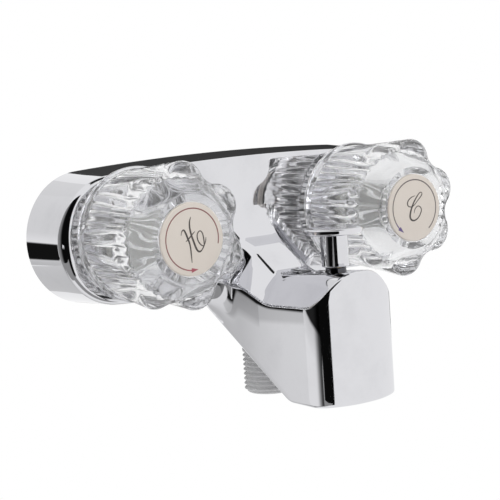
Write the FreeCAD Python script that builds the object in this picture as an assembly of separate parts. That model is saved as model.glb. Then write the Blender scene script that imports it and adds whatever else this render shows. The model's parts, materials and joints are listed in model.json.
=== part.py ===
import FreeCAD, Part
import math
import os
from FreeCAD import Vector as V

# Wall-mounted tub and shower faucet with two fluted knobs and a lift-rod diverter.
# Millimetres. X runs along the wall, Y into the wall, Z up. The wall is the plane Y = 0,
# so every piece in front of it has a negative Y, and the origin lies halfway between the inlets.

# Inlets, pipe threads and the wall
inlet_spacing = 101.6
pipe_radius = 10.5
pipe_end_chamfer = 1.0
clamp_thread_radius = 10.9
clamp_thread_end = 12.0
shank_length = 30.0
shank_bore = 7.0
wall_thickness = 3.2
thread_play = 0.05
lock_nut_flats = 32.0
lock_nut_height = 7.0
lock_nut_chamfer = 1.2
shank_washer_radius = 16.0
shank_washer_height = 1.6

# Wall plate of the moulded shell
plate_half_length = 82.2
plate_half_height = 26.8
plate_drop = 1.4
plate_depth = 25.8
plate_end_radius = 26.0
plate_corner_radius = 23.0
plate_crown_radius = 950.0
plate_draft = 1.2
plate_edge_radius = 2.2
edge_steps = 4
shell_wall = 2.4
rib_count = 8
rib_pitch = 16.5
rib_thickness = 1.6
rib_depth = 4.0
gasket_thickness = 2.0
gasket_width = 4.0
gasket_play = 0.2

# Spout, as seen from above
spout_half_width = 18.3
spout_reach = 93.2
spout_nose_radius = 29.0
spout_corner_radius = 7.0
spout_root_radius = 15.0

# Spout, as seen from the side: the deck falls to a knee and then runs nearly level
deck_foot_z = -2.6
deck_fall = 31.0
deck_knee_setback = 39.7
deck_rise = 5.0
spout_bottom_z = -63.0
underside_start_reach = 10.5
underside_end_setback = 23.2
underside_start_z = -27.3
heel_radius = 8.0
root_skirt_z = -14.0
root_skirt_end_z = -36.0
skirt_margin = 1.0
skirt_play = 0.05
knee_radius = 14.0

# Slanting facets beside the deck, which round off into an arch towards the nose
deck_half_width = 8.0
deck_edge_round = 0.5
nose_edge_round = 7.0
nose_section_setback = 3.8
root_deck_half_width = 11.3
root_shoulder_z = -16.0
facet_hollow = 0.2
root_hollow = 2.4
facet_overlap = 0.5
root_steps = 6
knee_steps = 4

# Shoulder edge under the facets: how far past the knee of the deck, and how far below it
shoulder_line = [(-12.5, -3.06), (-6.5, -4.36), (0.0, -6.76), (6.5, -9.06), (43.5, -7.56)]

# Mouth of the spout
mouth_half_width = 12.4
mouth_ledge = 1.0
mouth_lip = 5.7
mouth_corner_radius = 4.0

# Valve bodies
chamber_radius = 9.2
chamber_floor_y = -10.0
barrel_radius = 12.4
barrel_stand = 2.4
collar_radius = 15.0
collar_rear_y = -6.0
neck_radius = 12.5
neck_rear_y = -3.0
supply_floor_y = -4.0
seat_offset = 4.3
seat_pocket_radius = 4.05
seat_ledge_y = -5.5
seat_port_radius = 2.8
port_radius = 5.2
manifold_y = -14.0
shell_hole_play = 0.4

# Seats, springs, stems and guides
seat_radius = 4.0
seat_bore = 2.0
seat_height = 2.8
seat_gap = 0.1
spring_play = 0.1
spring_wire = 1.0
stem_disc_gap = 0.2
stem_cup_radius = 8.9
stem_cup_bore = 7.2
stem_cup_floor = 2.2
stem_cup_gap = 0.5
stem_port_radius = 2.6
stem_window_width = 9.0
stem_window_length = 5.6
stem_radius = 5.0
stem_shoulder_rise = 2.4
stem_tip_sink = 0.5
broach_teeth = 12
broach_radius = 4.2
broach_root_radius = 3.6
broach_play = 0.05
running_play = 0.05
guide_play = 0.1
guide_length = 7.2
guide_flange_radius = 12.2
guide_flange_height = 2.0
guide_groove_depth = 3.8
guide_ring_wire = 0.85
stem_groove_depth = 2.6
stem_ring_wire = 0.75
groove_side_play = 0.15

# Bonnet nuts
bonnet_flats = 29.0
bonnet_lip_bore = 7.5
bonnet_lip = 2.4

# Clear knobs
knob_lobes = 7
knob_gap = 1.4
knob_ring_radius = 25.0
knob_ring_height = 1.4
knob_skirt_radius = 24.0
knob_crest_radius = 27.4
knob_valley_radius = 23.0
knob_nose_radius = 8.0
knob_skirt_length = 29.8
knob_edge_inset = 1.2
knob_edge_depth = 1.4
knob_boss_radius = 16.7
knob_boss_height = 6.4
knob_rim_radius = 15.9
knob_rim_height = 0.8
knob_mouth_radius = 21.5
knob_mouth_depth = 1.8
knob_cavity_radius = 20.2
knob_cavity_depth = 27.2
knob_flutes = 42
knob_flute_depth = 0.9
knob_hub_radius = 8.0
knob_hub_sink = 9.8
hot_knob_angle = 29.2
cold_knob_angle = 16.9

# Handle screws and index buttons
button_radius = 12.9
button_play = 0.1
button_sink = 2.5
button_height = 3.0
button_edge = 0.4
screw_radius = 2.0
screw_head_radius = 3.8
screw_head_height = 2.3
screw_head_edge = 0.75
screw_well_radius = 4.6
screw_well_depth = 4.7
screw_length = 14.0
screw_slot = 1.0

# Manifold and spout tube
tube_radius = 7.0
tube_bore = 5.2
tube_insert = 2.5
socket_play = 0.05
drop_radius = 8.5
drop_end_z = -24.0
drop_top_z = 8.5
branch_start_z = -16.0
branch_boss_radius = 9.0
branch_boss_length = 12.0
branch_socket_start = 6.0
tube_knee_gap = 14.0
tube_port_z = -37.0
diverter_port_radius = 5.0
bulkhead_thickness = 2.5
bulkhead_play = 0.05
guide_rail_width = 1.6
guide_rail_margin = 1.0

# Shower outlet on the underside
outlet_reach = 34.0
outlet_end_z = -66.0
outlet_bore = 7.4
spigot_radius = 7.35
outlet_lower_bore = 7.0
outlet_top_margin = 1.0
outlet_hole_play = 0.2
outlet_chamfer = 1.4
outlet_thread_top_z = -49.5
outlet_neck_radius = 10.1
spigot_bore = 4.6
spigot_end_z = -47.0
spigot_groove_z = -44.5
outlet_ring_wire = 0.9

# Diverter
rod_setback = 14.4
rod_gap = 4.8
diverter_travel = 12.0
rod_radius = 2.0
rod_grip = 8.0
bush_neck_radius = 3.75
bush_rise = 1.73
bush_nut_radius = 4.6
bush_nut_height = 3.0
bush_ring_wire = 0.9
bush_ring_pocket = 2.0
lift_knob_gap = 0.3
lift_post_radius = 5.0
lift_post_length = 11.8
lift_disc_radius = 10.5
lift_disc_height = 2.2
lift_disc_edge = 0.7
lift_bore_end = 2.0
gate_half_width = 7.0
gate_height = 14.0
gate_front_margin = 2.2
gate_seal_radius = 6.5
gate_seal_thickness = 1.5
gate_seal_gap = 0.3
gate_play = 0.2

ALONG_X = V(1, 0, 0)
ALONG_Y = V(0, 1, 0)
ALONG_Z = V(0, 0, 1)
FULL_TURN = 360.0
BOTH_SIDES = (-1, 1)

plate_front_y = -plate_depth
plate_inner_y = -plate_depth + shell_wall
outlet_y = -outlet_reach
diverter_reach = spout_reach - rod_setback
bulkhead_reach = diverter_reach - rod_gap
tube_knee_reach = bulkhead_reach - tube_knee_gap
mouth_rear_reach = bulkhead_reach + mouth_ledge
mouth_front_reach = spout_reach - mouth_lip
underside_end_reach = spout_reach - underside_end_setback
deck_knee_reach = spout_reach - deck_knee_setback
deck_knee_z = deck_foot_z - math.tan(math.radians(deck_fall)) * (deck_knee_reach - plate_depth)
rod_y = -diverter_reach
bulkhead_y = -bulkhead_reach

# From the chamber out into the room, each along -Y from the one before
stem_rear_y = chamber_floor_y - stem_disc_gap
barrel_front_y = plate_front_y - barrel_stand
guide_rear_y = barrel_front_y + guide_length
guide_groove_y = barrel_front_y + guide_groove_depth
stem_groove_y = barrel_front_y + stem_groove_depth
stem_cup_front_y = guide_rear_y + stem_cup_gap
guide_front_y = barrel_front_y - guide_flange_height
bonnet_front_y = guide_front_y - bonnet_lip
stem_shoulder_y = bonnet_front_y - stem_shoulder_rise
knob_rear_y = plate_front_y - knob_gap
knob_front_y = knob_rear_y - knob_skirt_length
knob_boss_y = knob_front_y - knob_boss_height
knob_rim_y = knob_boss_y - knob_rim_height
knob_cavity_floor_y = knob_rear_y - knob_cavity_depth
knob_hub_rear_y = knob_rear_y - knob_hub_sink
button_seat_y = knob_rim_y + button_sink
screw_seat_y = button_seat_y + screw_well_depth
stem_tip_y = knob_cavity_floor_y - stem_tip_sink


def polar(radius, degrees, x, y):
    """Point at an angle round an axis that runs along Y through x."""
    angle = math.radians(degrees)
    return V(x + radius * math.cos(angle), y, radius * math.sin(angle))


def turned(profile, foot, along):
    """Solid of revolution from (distance along the axis, radius) pairs."""
    side = ALONG_Z if along == ALONG_X else ALONG_X
    points = [foot + along * distance + side * radius for distance, radius in profile]
    face = Part.Face(Part.makePolygon(points + points[:1]))
    return face.revolve(foot, along, FULL_TURN)


def bar(radius, start, end):
    """Round bar from one point to another."""
    return Part.makeCylinder(radius, (end - start).Length, start, end - start)


def ring(centre, along, middle_radius, wire):
    """Round-section sealing ring."""
    return Part.makeTorus(middle_radius, wire, centre, along)


def block(x0, x1, y0, y1, z0, z1):
    """Rectangular block between two values on each axis."""
    corner = V(min(x0, x1), min(y0, y1), min(z0, z1))
    return Part.makeBox(abs(x1 - x0), abs(y1 - y0), abs(z1 - z0), corner)


def prism(points, push):
    """Straight-sided prism over a closed outline of points."""
    return Part.Face(Part.makePolygon(points + points[:1])).extrude(push)


def hexagon(flats, x, y, height):
    """Hexagonal prism along Y, starting at y and running towards the room."""
    corner = flats / math.sqrt(3)
    points = [polar(corner, 60 * step, x, y) for step in range(6)]
    return prism(points, V(0, -height, 0))


def arc(start, middle, end):
    """Edge of a circular arc through three points."""
    return Part.Arc(start, middle, end).toShape()


def plate_wire(inset, y):
    """Oblong outline, a little below the valves, from crown, corner and end arcs that meet in tangents."""
    crown = V(0, 0, plate_half_height - plate_crown_radius)
    end = V(plate_half_length - plate_end_radius, 0, 0)
    to_crown = plate_crown_radius - plate_corner_radius
    to_end = plate_end_radius - plate_corner_radius
    apart = end.sub(crown).Length
    direction = end.sub(crown).normalize()
    across = V(direction.z, 0, -direction.x)
    run = (to_crown ** 2 - to_end ** 2 + apart ** 2) / (2 * apart)
    rise = math.sqrt(to_crown ** 2 - run ** 2)
    corner = crown + direction * run + across * rise
    crown_way = corner.sub(crown).normalize()
    end_way = corner.sub(end).normalize()
    corner_way = (crown_way + end_way).normalize()
    high = crown + crown_way * (plate_crown_radius - inset)
    turn = corner + corner_way * (plate_corner_radius - inset)
    low = end + end_way * (plate_end_radius - inset)
    top = V(0, y, plate_half_height - inset)
    tip = V(plate_half_length - inset, y, 0)

    def at(point, x_sign, z_sign):
        return V(x_sign * point.x, y, z_sign * point.z - plate_drop)

    edges = [
        arc(at(high, -1, 1), at(top, 1, 1), at(high, 1, 1)),
        arc(at(high, 1, 1), at(turn, 1, 1), at(low, 1, 1)),
        arc(at(low, 1, 1), at(tip, 1, 1), at(low, 1, -1)),
        arc(at(low, 1, -1), at(turn, 1, -1), at(high, 1, -1)),
        arc(at(high, 1, -1), at(top, 1, -1), at(high, -1, -1)),
        arc(at(high, -1, -1), at(turn, -1, -1), at(low, -1, -1)),
        arc(at(low, -1, -1), at(tip, -1, 1), at(low, -1, 1)),
        arc(at(low, -1, 1), at(turn, -1, 1), at(high, -1, 1)),
    ]
    return Part.Wire(edges)


def plate_form(inset, front_y):
    """Drafted wall plate, from the wall to its flat front."""
    rear = plate_wire(inset, 0)
    front = plate_wire(inset + plate_draft, front_y)
    return Part.makeLoft([rear, front], True, True)


def plate_outside():
    """Wall plate with its front edge rounded."""
    round_y = plate_front_y + plate_edge_radius
    body = Part.makeLoft([plate_wire(0, 0), plate_wire(plate_draft, round_y)], True, True)
    wires = []
    for step in range(edge_steps + 1):
        angle = math.pi / 2 * step / edge_steps
        inset = plate_draft + plate_edge_radius * (1 - math.cos(angle))
        wires.append(plate_wire(inset, round_y - plate_edge_radius * math.sin(angle)))
    return body.fuse(Part.makeLoft(wires, True, True))


def deck_bend(inset):
    """Reaches where the bend between the falling and the level deck starts and ends, and its centre."""
    fall = math.radians(deck_fall)
    rise = math.radians(deck_rise)
    tangent = knee_radius * math.tan((fall + rise) / 2)
    centre = deck_knee_reach - tangent * math.cos(fall) + knee_radius * math.sin(fall)
    radius = knee_radius + inset
    return centre - radius * math.sin(fall), centre + radius * math.sin(rise), centre


def deck_height(reach, inset=0):
    """Height of the deck, or of the surface an inset under it: hollow root, fall, bend and level end."""
    fall = math.radians(deck_fall)
    rise = math.radians(deck_rise)
    bend_start, bend_end, bend_centre = deck_bend(inset)
    root = spout_root_radius + inset
    root_centre = plate_depth + spout_root_radius
    if reach < root_centre - root * math.sin(fall):
        lift = spout_root_radius / math.cos(fall) - math.tan(fall) * spout_root_radius
        return deck_foot_z + lift - math.sqrt(root ** 2 - (root_centre - reach) ** 2)
    if reach <= bend_start:
        return deck_foot_z - math.tan(fall) * (reach - plate_depth) - inset / math.cos(fall)
    if reach < bend_end:
        centre_z = deck_foot_z - math.tan(fall) * (bend_centre - plate_depth) + knee_radius / math.cos(fall)
        return centre_z - math.sqrt((knee_radius + inset) ** 2 - (bend_centre - reach) ** 2)
    return deck_knee_z + math.tan(rise) * (reach - deck_knee_reach) - inset / math.cos(rise)


def bush_top_z():
    """Height of the bush's top, a little above the deck."""
    return deck_height(diverter_reach) + bush_rise


def lift_post_top_z():
    """Height where the lift knob's post meets its disc."""
    return bush_top_z() + lift_knob_gap + lift_post_length


def bush_seat_z():
    """Height where the bush's nut meets the sloping deck from inside."""
    return deck_height(diverter_reach - bush_nut_radius, shell_wall)


def root_flare(reach, inset):
    """Extra half width of the spout where it flares into the plate."""
    radius = spout_root_radius + inset
    left = max(plate_depth + spout_root_radius - reach, 0)
    return radius - math.sqrt(max(radius ** 2 - left ** 2, 0))


def shoulder_drop(past_knee):
    """Height of the shoulder edge above the knee of the deck, negative because it is lower."""
    if past_knee <= shoulder_line[0][0]:
        return shoulder_line[0][1]
    for (low, low_z), (high, high_z) in zip(shoulder_line, shoulder_line[1:]):
        if past_knee <= high:
            return low_z + (high_z - low_z) * (past_knee - low) / (high - low)
    return shoulder_line[-1][1]


def shoulder_height(reach, flare):
    """Height of the edge between a slanting facet and the spout's side."""
    level = deck_knee_z + shoulder_drop(reach - deck_knee_reach)
    return level + (root_shoulder_z - level) * flare / spout_root_radius


def edge_round(reach):
    """How far from its corner the rounding between deck and facet starts."""
    first = deck_knee_reach + shoulder_line[-2][0]
    last = spout_reach + nose_section_setback
    share = min(max((reach - first) / (last - first), 0), 1)
    return deck_edge_round + (nose_edge_round - deck_edge_round) * share


def facet_wire(reach, inset):
    """Cross-section of the deck and its two slanting facets, closed far below."""
    flare = root_flare(reach, inset)
    share = flare / spout_root_radius
    deck_half = deck_half_width + (root_deck_half_width - deck_half_width) * share
    hollow = facet_hollow + (root_hollow - facet_hollow) * share
    slope = deck_fall if reach <= deck_knee_reach else deck_rise
    sink = inset / math.cos(math.radians(slope))
    deck_z = deck_height(reach, inset) + sink
    shoulder = spout_half_width + flare
    shoulder_z = shoulder_height(reach, flare)
    length = math.hypot(shoulder - deck_half, shoulder_z - deck_z)
    run = (shoulder - deck_half) / length
    fall = (shoulder_z - deck_z) / length
    shift = (inset * run - sink) / fall
    past = length + facet_overlap
    corner = (deck_half + inset * fall + shift * run, deck_z - sink)
    far = (deck_half + past * run + inset * fall, deck_z + past * fall - inset * run)
    # The rounding is an arc that touches the deck and the facet as far from their corner.
    turn = math.atan2(-fall, run)
    bend = max(edge_round(reach) - inset * math.tan(turn / 2), deck_edge_round / 2)
    deck_end = (corner[0] - bend, corner[1])
    near = (corner[0] + bend * run, corner[1] + bend * fall)
    depth = bend * (1 / math.sin(turn / 2) - 1 / math.tan(turn / 2))
    crest = (corner[0] - depth * math.sin(turn / 2), corner[1] - depth * math.cos(turn / 2))
    middle = ((near[0] + far[0]) / 2 + hollow * fall, (near[1] + far[1]) / 2 - hollow * run)
    base_z = 2 * spout_bottom_z
    y = -reach

    def at(point, side):
        return V(side * point[0], y, point[1])

    low_far = (far[0], base_z)
    edges = [
        Part.LineSegment(at(deck_end, -1), at(deck_end, 1)).toShape(),
        arc(at(deck_end, 1), at(crest, 1), at(near, 1)),
        arc(at(near, 1), at(middle, 1), at(far, 1)),
        Part.LineSegment(at(far, 1), at(low_far, 1)).toShape(),
        Part.LineSegment(at(low_far, 1), at(low_far, -1)).toShape(),
        Part.LineSegment(at(low_far, -1), at(far, -1)).toShape(),
        arc(at(far, -1), at(middle, -1), at(near, -1)),
        arc(at(near, -1), at(crest, -1), at(deck_end, -1)),
    ]
    return Part.Wire(edges)


def facet_reaches(inset):
    """Distances from the wall of the cross-sections: close together where the deck bends."""
    quarter = math.pi / 2
    root = [plate_depth + spout_root_radius * (1 - math.cos(quarter * step / root_steps))
            for step in range(root_steps + 1)]
    knee_start, knee_end, _ = deck_bend(inset)
    knee = [knee_start + (knee_end - knee_start) * step / knee_steps for step in range(knee_steps + 1)]
    line = [deck_knee_reach + past for past, _ in shoulder_line[1:-1]]
    rest = [reach for reach in line if not knee_start <= reach <= knee_end]
    return sorted(root + knee + rest + [spout_reach + nose_section_setback])


def facet_form(inset):
    """Body under the deck and facets, carried straight back into the plate."""
    wires = [facet_wire(reach, inset) for reach in facet_reaches(inset)]
    body = Part.makeLoft(wires, True, True)
    stub = Part.Face(wires[0]).extrude(V(0, plate_depth - underside_start_reach + heel_radius, 0))
    return body.fuse(stub)


def plan_form(inset):
    """Spout seen from above: flared root, straight sides and a bowed nose."""
    half = spout_half_width - inset
    root = spout_root_radius + inset
    corner = spout_corner_radius - inset
    nose = spout_nose_radius - inset
    root_y = -plate_depth - spout_root_radius
    nose_centre_y = -spout_reach + spout_nose_radius
    corner_x = half - corner
    corner_y = nose_centre_y - math.sqrt((nose - corner) ** 2 - corner_x ** 2)
    way = V(corner_x, corner_y - nose_centre_y, 0).normalize()
    meet = V(0, nose_centre_y, 0) + way * nose
    bisector = (way + ALONG_X).normalize()
    turn = V(corner_x, corner_y, 0) + bisector * corner
    flare = V(half + root * (1 - math.cos(math.pi / 4)), root_y + root * math.sin(math.pi / 4), 0)
    base_z = 2 * spout_bottom_z
    open_y = root_y + root
    back_y = max(open_y, -underside_start_reach + heel_radius)

    def at(x, y):
        return V(x, y, base_z)

    wide = half + root
    edges = [
        arc(at(-meet.x, meet.y), at(0, nose_centre_y - nose), at(meet.x, meet.y)),
        arc(at(meet.x, meet.y), at(turn.x, turn.y), at(half, corner_y)),
        Part.LineSegment(at(half, corner_y), at(half, root_y)).toShape(),
        arc(at(half, root_y), at(flare.x, flare.y), at(wide, open_y)),
        Part.LineSegment(at(wide, open_y), at(wide, back_y)).toShape(),
        Part.LineSegment(at(wide, back_y), at(-wide, back_y)).toShape(),
        Part.LineSegment(at(-wide, back_y), at(-wide, open_y)).toShape(),
        arc(at(-wide, open_y), at(-flare.x, flare.y), at(-half, root_y)),
        Part.LineSegment(at(-half, root_y), at(-half, corner_y)).toShape(),
        arc(at(-half, corner_y), at(-turn.x, turn.y), at(-meet.x, meet.y)),
    ]
    return Part.Face(Part.Wire(edges)).extrude(V(0, 0, plate_half_height - base_z))


def underside_height(reach, inset):
    """Height of the sloping underside, or of the surface an inset above it."""
    fall = (spout_bottom_z - underside_start_z) / (underside_end_reach - underside_start_reach)
    lift = inset * math.hypot(1, fall)
    return underside_start_z + fall * (reach - underside_start_reach) + lift


def side_form(inset):
    """Spout seen from the side: sloping underside, rounded heel and flat bottom."""
    fall = (spout_bottom_z - underside_start_z) / (underside_end_reach - underside_start_reach)
    back = underside_start_reach - heel_radius
    floor_z = spout_bottom_z + inset
    heel_reach = underside_end_reach + inset * (math.hypot(1, fall) - 1) / -fall
    far = spout_reach + heel_radius
    wide = plate_half_height * 2
    points = [
        V(-wide, -back, plate_half_height),
        V(-wide, -back, underside_height(back, inset)),
        V(-wide, -heel_reach, floor_z),
        V(-wide, -far, floor_z),
        V(-wide, -far, plate_half_height),
    ]
    body = prism(points, V(2 * wide, 0, 0))
    heel = [
        edge for edge in body.Edges
        if abs(edge.CenterOfMass.y + heel_reach) < 0.01 and abs(edge.CenterOfMass.z - floor_z) < 0.01
    ]
    return body.makeFillet(heel_radius - inset, heel)


def skirt_form(inset):
    """Spout seen from the front: the flared root draws in below the plate."""
    run = spout_root_radius + skirt_margin - skirt_play
    drop = root_skirt_z - root_skirt_end_z
    lift = inset * (math.hypot(run, drop) - drop) / run
    wide = spout_half_width + spout_root_radius + skirt_margin - inset
    slim = spout_half_width + skirt_play - inset
    turn_z = root_skirt_z + lift
    end_z = root_skirt_end_z + lift
    top = plate_half_height
    low = 2 * spout_bottom_z
    points = [
        V(-wide, 0, top), V(wide, 0, top), V(wide, 0, turn_z), V(slim, 0, end_z),
        V(slim, 0, low), V(-slim, 0, low), V(-slim, 0, end_z), V(-wide, 0, turn_z),
    ]
    return prism(points, V(0, -2 * spout_reach, 0))


def spout_form(inset):
    """The spout's solid form, or the same form drawn in by a wall."""
    body = facet_form(inset).common(plan_form(inset))
    body = body.common(side_form(inset))
    return body.common(skirt_form(inset))


def mouth_cut():
    """Rounded opening through the flat bottom of the spout."""
    depth = 3 * shell_wall
    tool = block(-mouth_half_width, mouth_half_width, -mouth_front_reach, -mouth_rear_reach,
                 spout_bottom_z - shell_wall, spout_bottom_z - shell_wall + depth)
    upright = [edge for edge in tool.Edges if abs(edge.BoundBox.ZLength - depth) < 0.01]
    return tool.makeFillet(mouth_corner_radius, upright)


def plate_ribs():
    """Ribs inside the plate that stop the gasket and stiffen the walls."""
    ribs = []
    front_y = plate_inner_y - shell_wall / 2
    for step in range(rib_count):
        x = (step - (rib_count - 1) / 2) * rib_pitch
        drop = plate_crown_radius - math.sqrt(plate_crown_radius ** 2 - x ** 2)
        outer_z = plate_half_height - (shell_wall + plate_draft) / 2 - drop
        inner_z = plate_half_height - shell_wall - rib_depth - drop
        sides = (x - rib_thickness / 2, x + rib_thickness / 2)
        ribs.append(block(*sides, front_y, -gasket_thickness, inner_z - plate_drop, outer_z - plate_drop))
        if abs(x) > spout_half_width + spout_root_radius + rib_thickness:
            ribs.append(block(*sides, front_y, -gasket_thickness, -inner_z - plate_drop, -outer_z - plate_drop))
    inner_x = plate_half_length - shell_wall - rib_depth
    outer_x = plate_half_length - (shell_wall + plate_draft) / 2
    half = rib_thickness / 2
    for side in BOTH_SIDES:
        ribs.append(block(side * inner_x, side * outer_x, front_y, -gasket_thickness,
                          -plate_drop - half, -plate_drop + half))
    return ribs


def chrome_shell():
    """Moulded cover: wall plate and spout in one open-backed shell."""
    outside = plate_outside().fuse(spout_form(0))
    inside = plate_form(shell_wall, plate_inner_y).fuse(spout_form(shell_wall))
    shell = outside.cut(inside)
    for side in BOTH_SIDES:
        x = side * inlet_spacing / 2
        hole = barrel_radius + shell_hole_play
        shell = shell.cut(bar(hole, V(x, plate_inner_y + 1, 0), V(x, plate_front_y - 1, 0)))
    rod_hole = bar(bush_neck_radius, V(0, rod_y, bush_seat_z() - shell_wall), V(0, rod_y, 0))
    outlet_hole = bar(outlet_neck_radius + outlet_hole_play, V(0, outlet_y, spout_bottom_z),
                      V(0, outlet_y, spigot_top()))
    shell = shell.cut(rod_hole).cut(outlet_hole).cut(mouth_cut())
    return shell.fuse(plate_ribs()).removeSplitter()


def wall_gasket():
    """Foam ring that seals the rim of the plate to the wall."""
    outer = shell_wall + gasket_play
    inner = outer + gasket_width
    solid = Part.Face(plate_wire(outer, 0)).extrude(V(0, -gasket_thickness, 0))
    hole = Part.Face(plate_wire(inner, 0)).extrude(V(0, -gasket_thickness, 0))
    return solid.cut(hole)


def valve_body(x, towards_middle):
    """Moulded body with the threaded supply shank behind and the stem barrel in front."""
    foot = V(x, 0, 0)
    body = turned([
        (shank_length, shank_bore), (shank_length, pipe_radius - pipe_end_chamfer),
        (shank_length - pipe_end_chamfer, pipe_radius), (clamp_thread_end + pipe_end_chamfer, pipe_radius),
        (clamp_thread_end, clamp_thread_radius), (neck_rear_y, clamp_thread_radius),
        (neck_rear_y, neck_radius), (collar_rear_y, neck_radius),
        (collar_rear_y, collar_radius), (plate_inner_y, collar_radius), (plate_inner_y, barrel_radius),
        (barrel_front_y, barrel_radius), (barrel_front_y, chamber_radius),
        (chamber_floor_y, chamber_radius), (chamber_floor_y, 0), (supply_floor_y, 0),
        (supply_floor_y, shank_bore),
    ], foot, ALONG_Y)
    seat_foot = V(x, 0, -seat_offset)
    pocket = bar(seat_pocket_radius, seat_foot + V(0, seat_ledge_y, 0), seat_foot + V(0, chamber_floor_y, 0))
    port = bar(seat_port_radius, seat_foot + V(0, supply_floor_y, 0), seat_foot + V(0, seat_ledge_y, 0))
    middle = V(x, manifold_y, 0)
    wall_x = x + towards_middle * (collar_radius - tube_insert)
    outlet = bar(port_radius, middle, V(x + towards_middle * collar_radius, manifold_y, 0))
    socket = bar(tube_radius + socket_play, V(wall_x, manifold_y, 0),
                 V(wall_x + towards_middle * collar_radius, manifold_y, 0))
    return body.cut(pocket).cut(port).cut(outlet).cut(socket)


def seat(x):
    """Rubber cup seat that the stem's disc slides over."""
    front = chamber_floor_y - stem_disc_gap + seat_gap
    foot = V(x, 0, -seat_offset)
    return turned([
        (front, seat_bore), (front, seat_radius), (front + seat_height, seat_radius),
        (front + seat_height, seat_bore),
    ], foot, ALONG_Y)


def seat_spring(x):
    """Short spring that presses the seat against the disc."""
    front = chamber_floor_y - stem_disc_gap + seat_gap + seat_height
    outer = seat_pocket_radius - spring_play
    foot = V(x, 0, -seat_offset)
    return turned([
        (front, outer - spring_wire), (front, outer), (seat_ledge_y, outer), (seat_ledge_y, outer - spring_wire),
    ], foot, ALONG_Y)


def stem_guide(x):
    """Sleeve in the barrel that the stem turns in."""
    foot = V(x, 0, 0)
    outer = chamber_radius - guide_play
    bore = stem_radius + running_play
    body = turned([
        (guide_rear_y, bore), (guide_rear_y, outer), (barrel_front_y, outer),
        (barrel_front_y, guide_flange_radius), (guide_front_y, guide_flange_radius), (guide_front_y, bore),
    ], foot, ALONG_Y)
    half = guide_ring_wire + groove_side_play
    floor = chamber_radius - 2 * guide_ring_wire
    groove = turned([
        (guide_groove_y - half, floor), (guide_groove_y - half, chamber_radius),
        (guide_groove_y + half, chamber_radius), (guide_groove_y + half, floor),
    ], foot, ALONG_Y)
    return body.cut(groove)


def guide_ring(x):
    """Ring that seals the guide in its barrel."""
    return ring(V(x, guide_groove_y, 0), ALONG_Y, chamber_radius - guide_ring_wire, guide_ring_wire)


def bonnet_nut(x):
    """Hexagonal nut that clamps the shell and holds the guide in the barrel."""
    height = plate_front_y - bonnet_front_y
    body = hexagon(bonnet_flats, x, plate_front_y, height)
    corners = turned([
        (plate_front_y, 0), (plate_front_y, bonnet_flats / math.sqrt(3)),
        (bonnet_front_y + bonnet_lip / 2, bonnet_flats / math.sqrt(3)), (bonnet_front_y, bonnet_flats / 2),
        (bonnet_front_y, 0),
    ], V(x, 0, 0), ALONG_Y)
    thread = bar(barrel_radius + thread_play, V(x, plate_front_y, 0), V(x, guide_front_y, 0))
    lip = bar(bonnet_lip_bore, V(x, guide_front_y, 0), V(x, bonnet_front_y, 0))
    return body.common(corners).cut(thread).cut(lip)


def lock_nut(x):
    """Nut that draws the faucet up to the wall from behind."""
    front = wall_thickness + shank_washer_height
    rear = front + lock_nut_height
    corner = lock_nut_flats / math.sqrt(3)
    body = hexagon(lock_nut_flats, x, rear, lock_nut_height)
    corners = turned([
        (front, 0), (front, corner), (rear - lock_nut_chamfer, corner), (rear, lock_nut_flats / 2), (rear, 0),
    ], V(x, 0, 0), ALONG_Y)
    return body.common(corners).cut(bar(clamp_thread_radius + thread_play, V(x, rear, 0), V(x, 0, 0)))


def shank_washer(x):
    """Flat washer under the lock nut."""
    rear = wall_thickness + shank_washer_height
    bore = clamp_thread_radius + thread_play
    return turned([
        (wall_thickness, bore), (wall_thickness, shank_washer_radius), (rear, shank_washer_radius), (rear, bore),
    ], V(x, 0, 0), ALONG_Y)


def broach_wire(x, y, play):
    """Toothed outline shared by the stem's end and the knob's bore."""
    points = []
    for tooth in range(broach_teeth):
        angle = FULL_TURN * tooth / broach_teeth
        points.append(polar(broach_radius + play, angle, x, y))
        points.append(polar(broach_root_radius + play, angle + FULL_TURN / broach_teeth / 2, x, y))
    return Part.makePolygon(points + points[:1])


def stem(x):
    """Turning stem: ported disc, open cup, sealed shaft and toothed end."""
    foot = V(x, 0, 0)
    half = stem_ring_wire + groove_side_play
    groove_floor = stem_radius - 2 * stem_ring_wire
    cup_end = stem_cup_front_y + stem_cup_floor
    body = turned([
        (stem_rear_y, 0), (stem_rear_y, stem_cup_radius), (stem_cup_front_y, stem_cup_radius),
        (stem_cup_front_y, stem_radius), (stem_groove_y + half, stem_radius), (stem_groove_y + half, groove_floor),
        (stem_groove_y - half, groove_floor), (stem_groove_y - half, stem_radius),
        (stem_shoulder_y, stem_radius), (stem_shoulder_y, 0),
    ], foot, ALONG_Y)
    hollow = bar(stem_cup_bore, V(x, stem_rear_y - stem_cup_floor, 0), V(x, cup_end, 0))
    port = bar(stem_port_radius, V(x, stem_rear_y, seat_offset), V(x, stem_rear_y - stem_cup_floor, seat_offset))
    middle_y = (stem_rear_y + stem_cup_front_y) / 2
    reach = stem_cup_radius + 1
    half_width = stem_window_width / 2
    half_length = stem_window_length / 2
    ends = (middle_y - half_length, middle_y + half_length)
    window_x = block(x - reach, x + reach, *ends, -half_width, half_width)
    window_z = block(x - half_width, x + half_width, *ends, -reach, reach)
    end = Part.Face(broach_wire(x, stem_shoulder_y, 0)).extrude(V(0, stem_tip_y - stem_shoulder_y, 0))
    thread = bar(screw_radius, V(x, screw_seat_y + screw_length, 0), V(x, stem_tip_y, 0))
    body = body.cut(hollow).cut(port).cut(window_x).cut(window_z)
    return body.fuse(end).cut(thread).removeSplitter()


def stem_ring(x):
    """Ring in the stem's groove that keeps water out of the knob."""
    return ring(V(x, stem_groove_y, 0), ALONG_Y, stem_radius - stem_ring_wire, stem_ring_wire)


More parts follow.
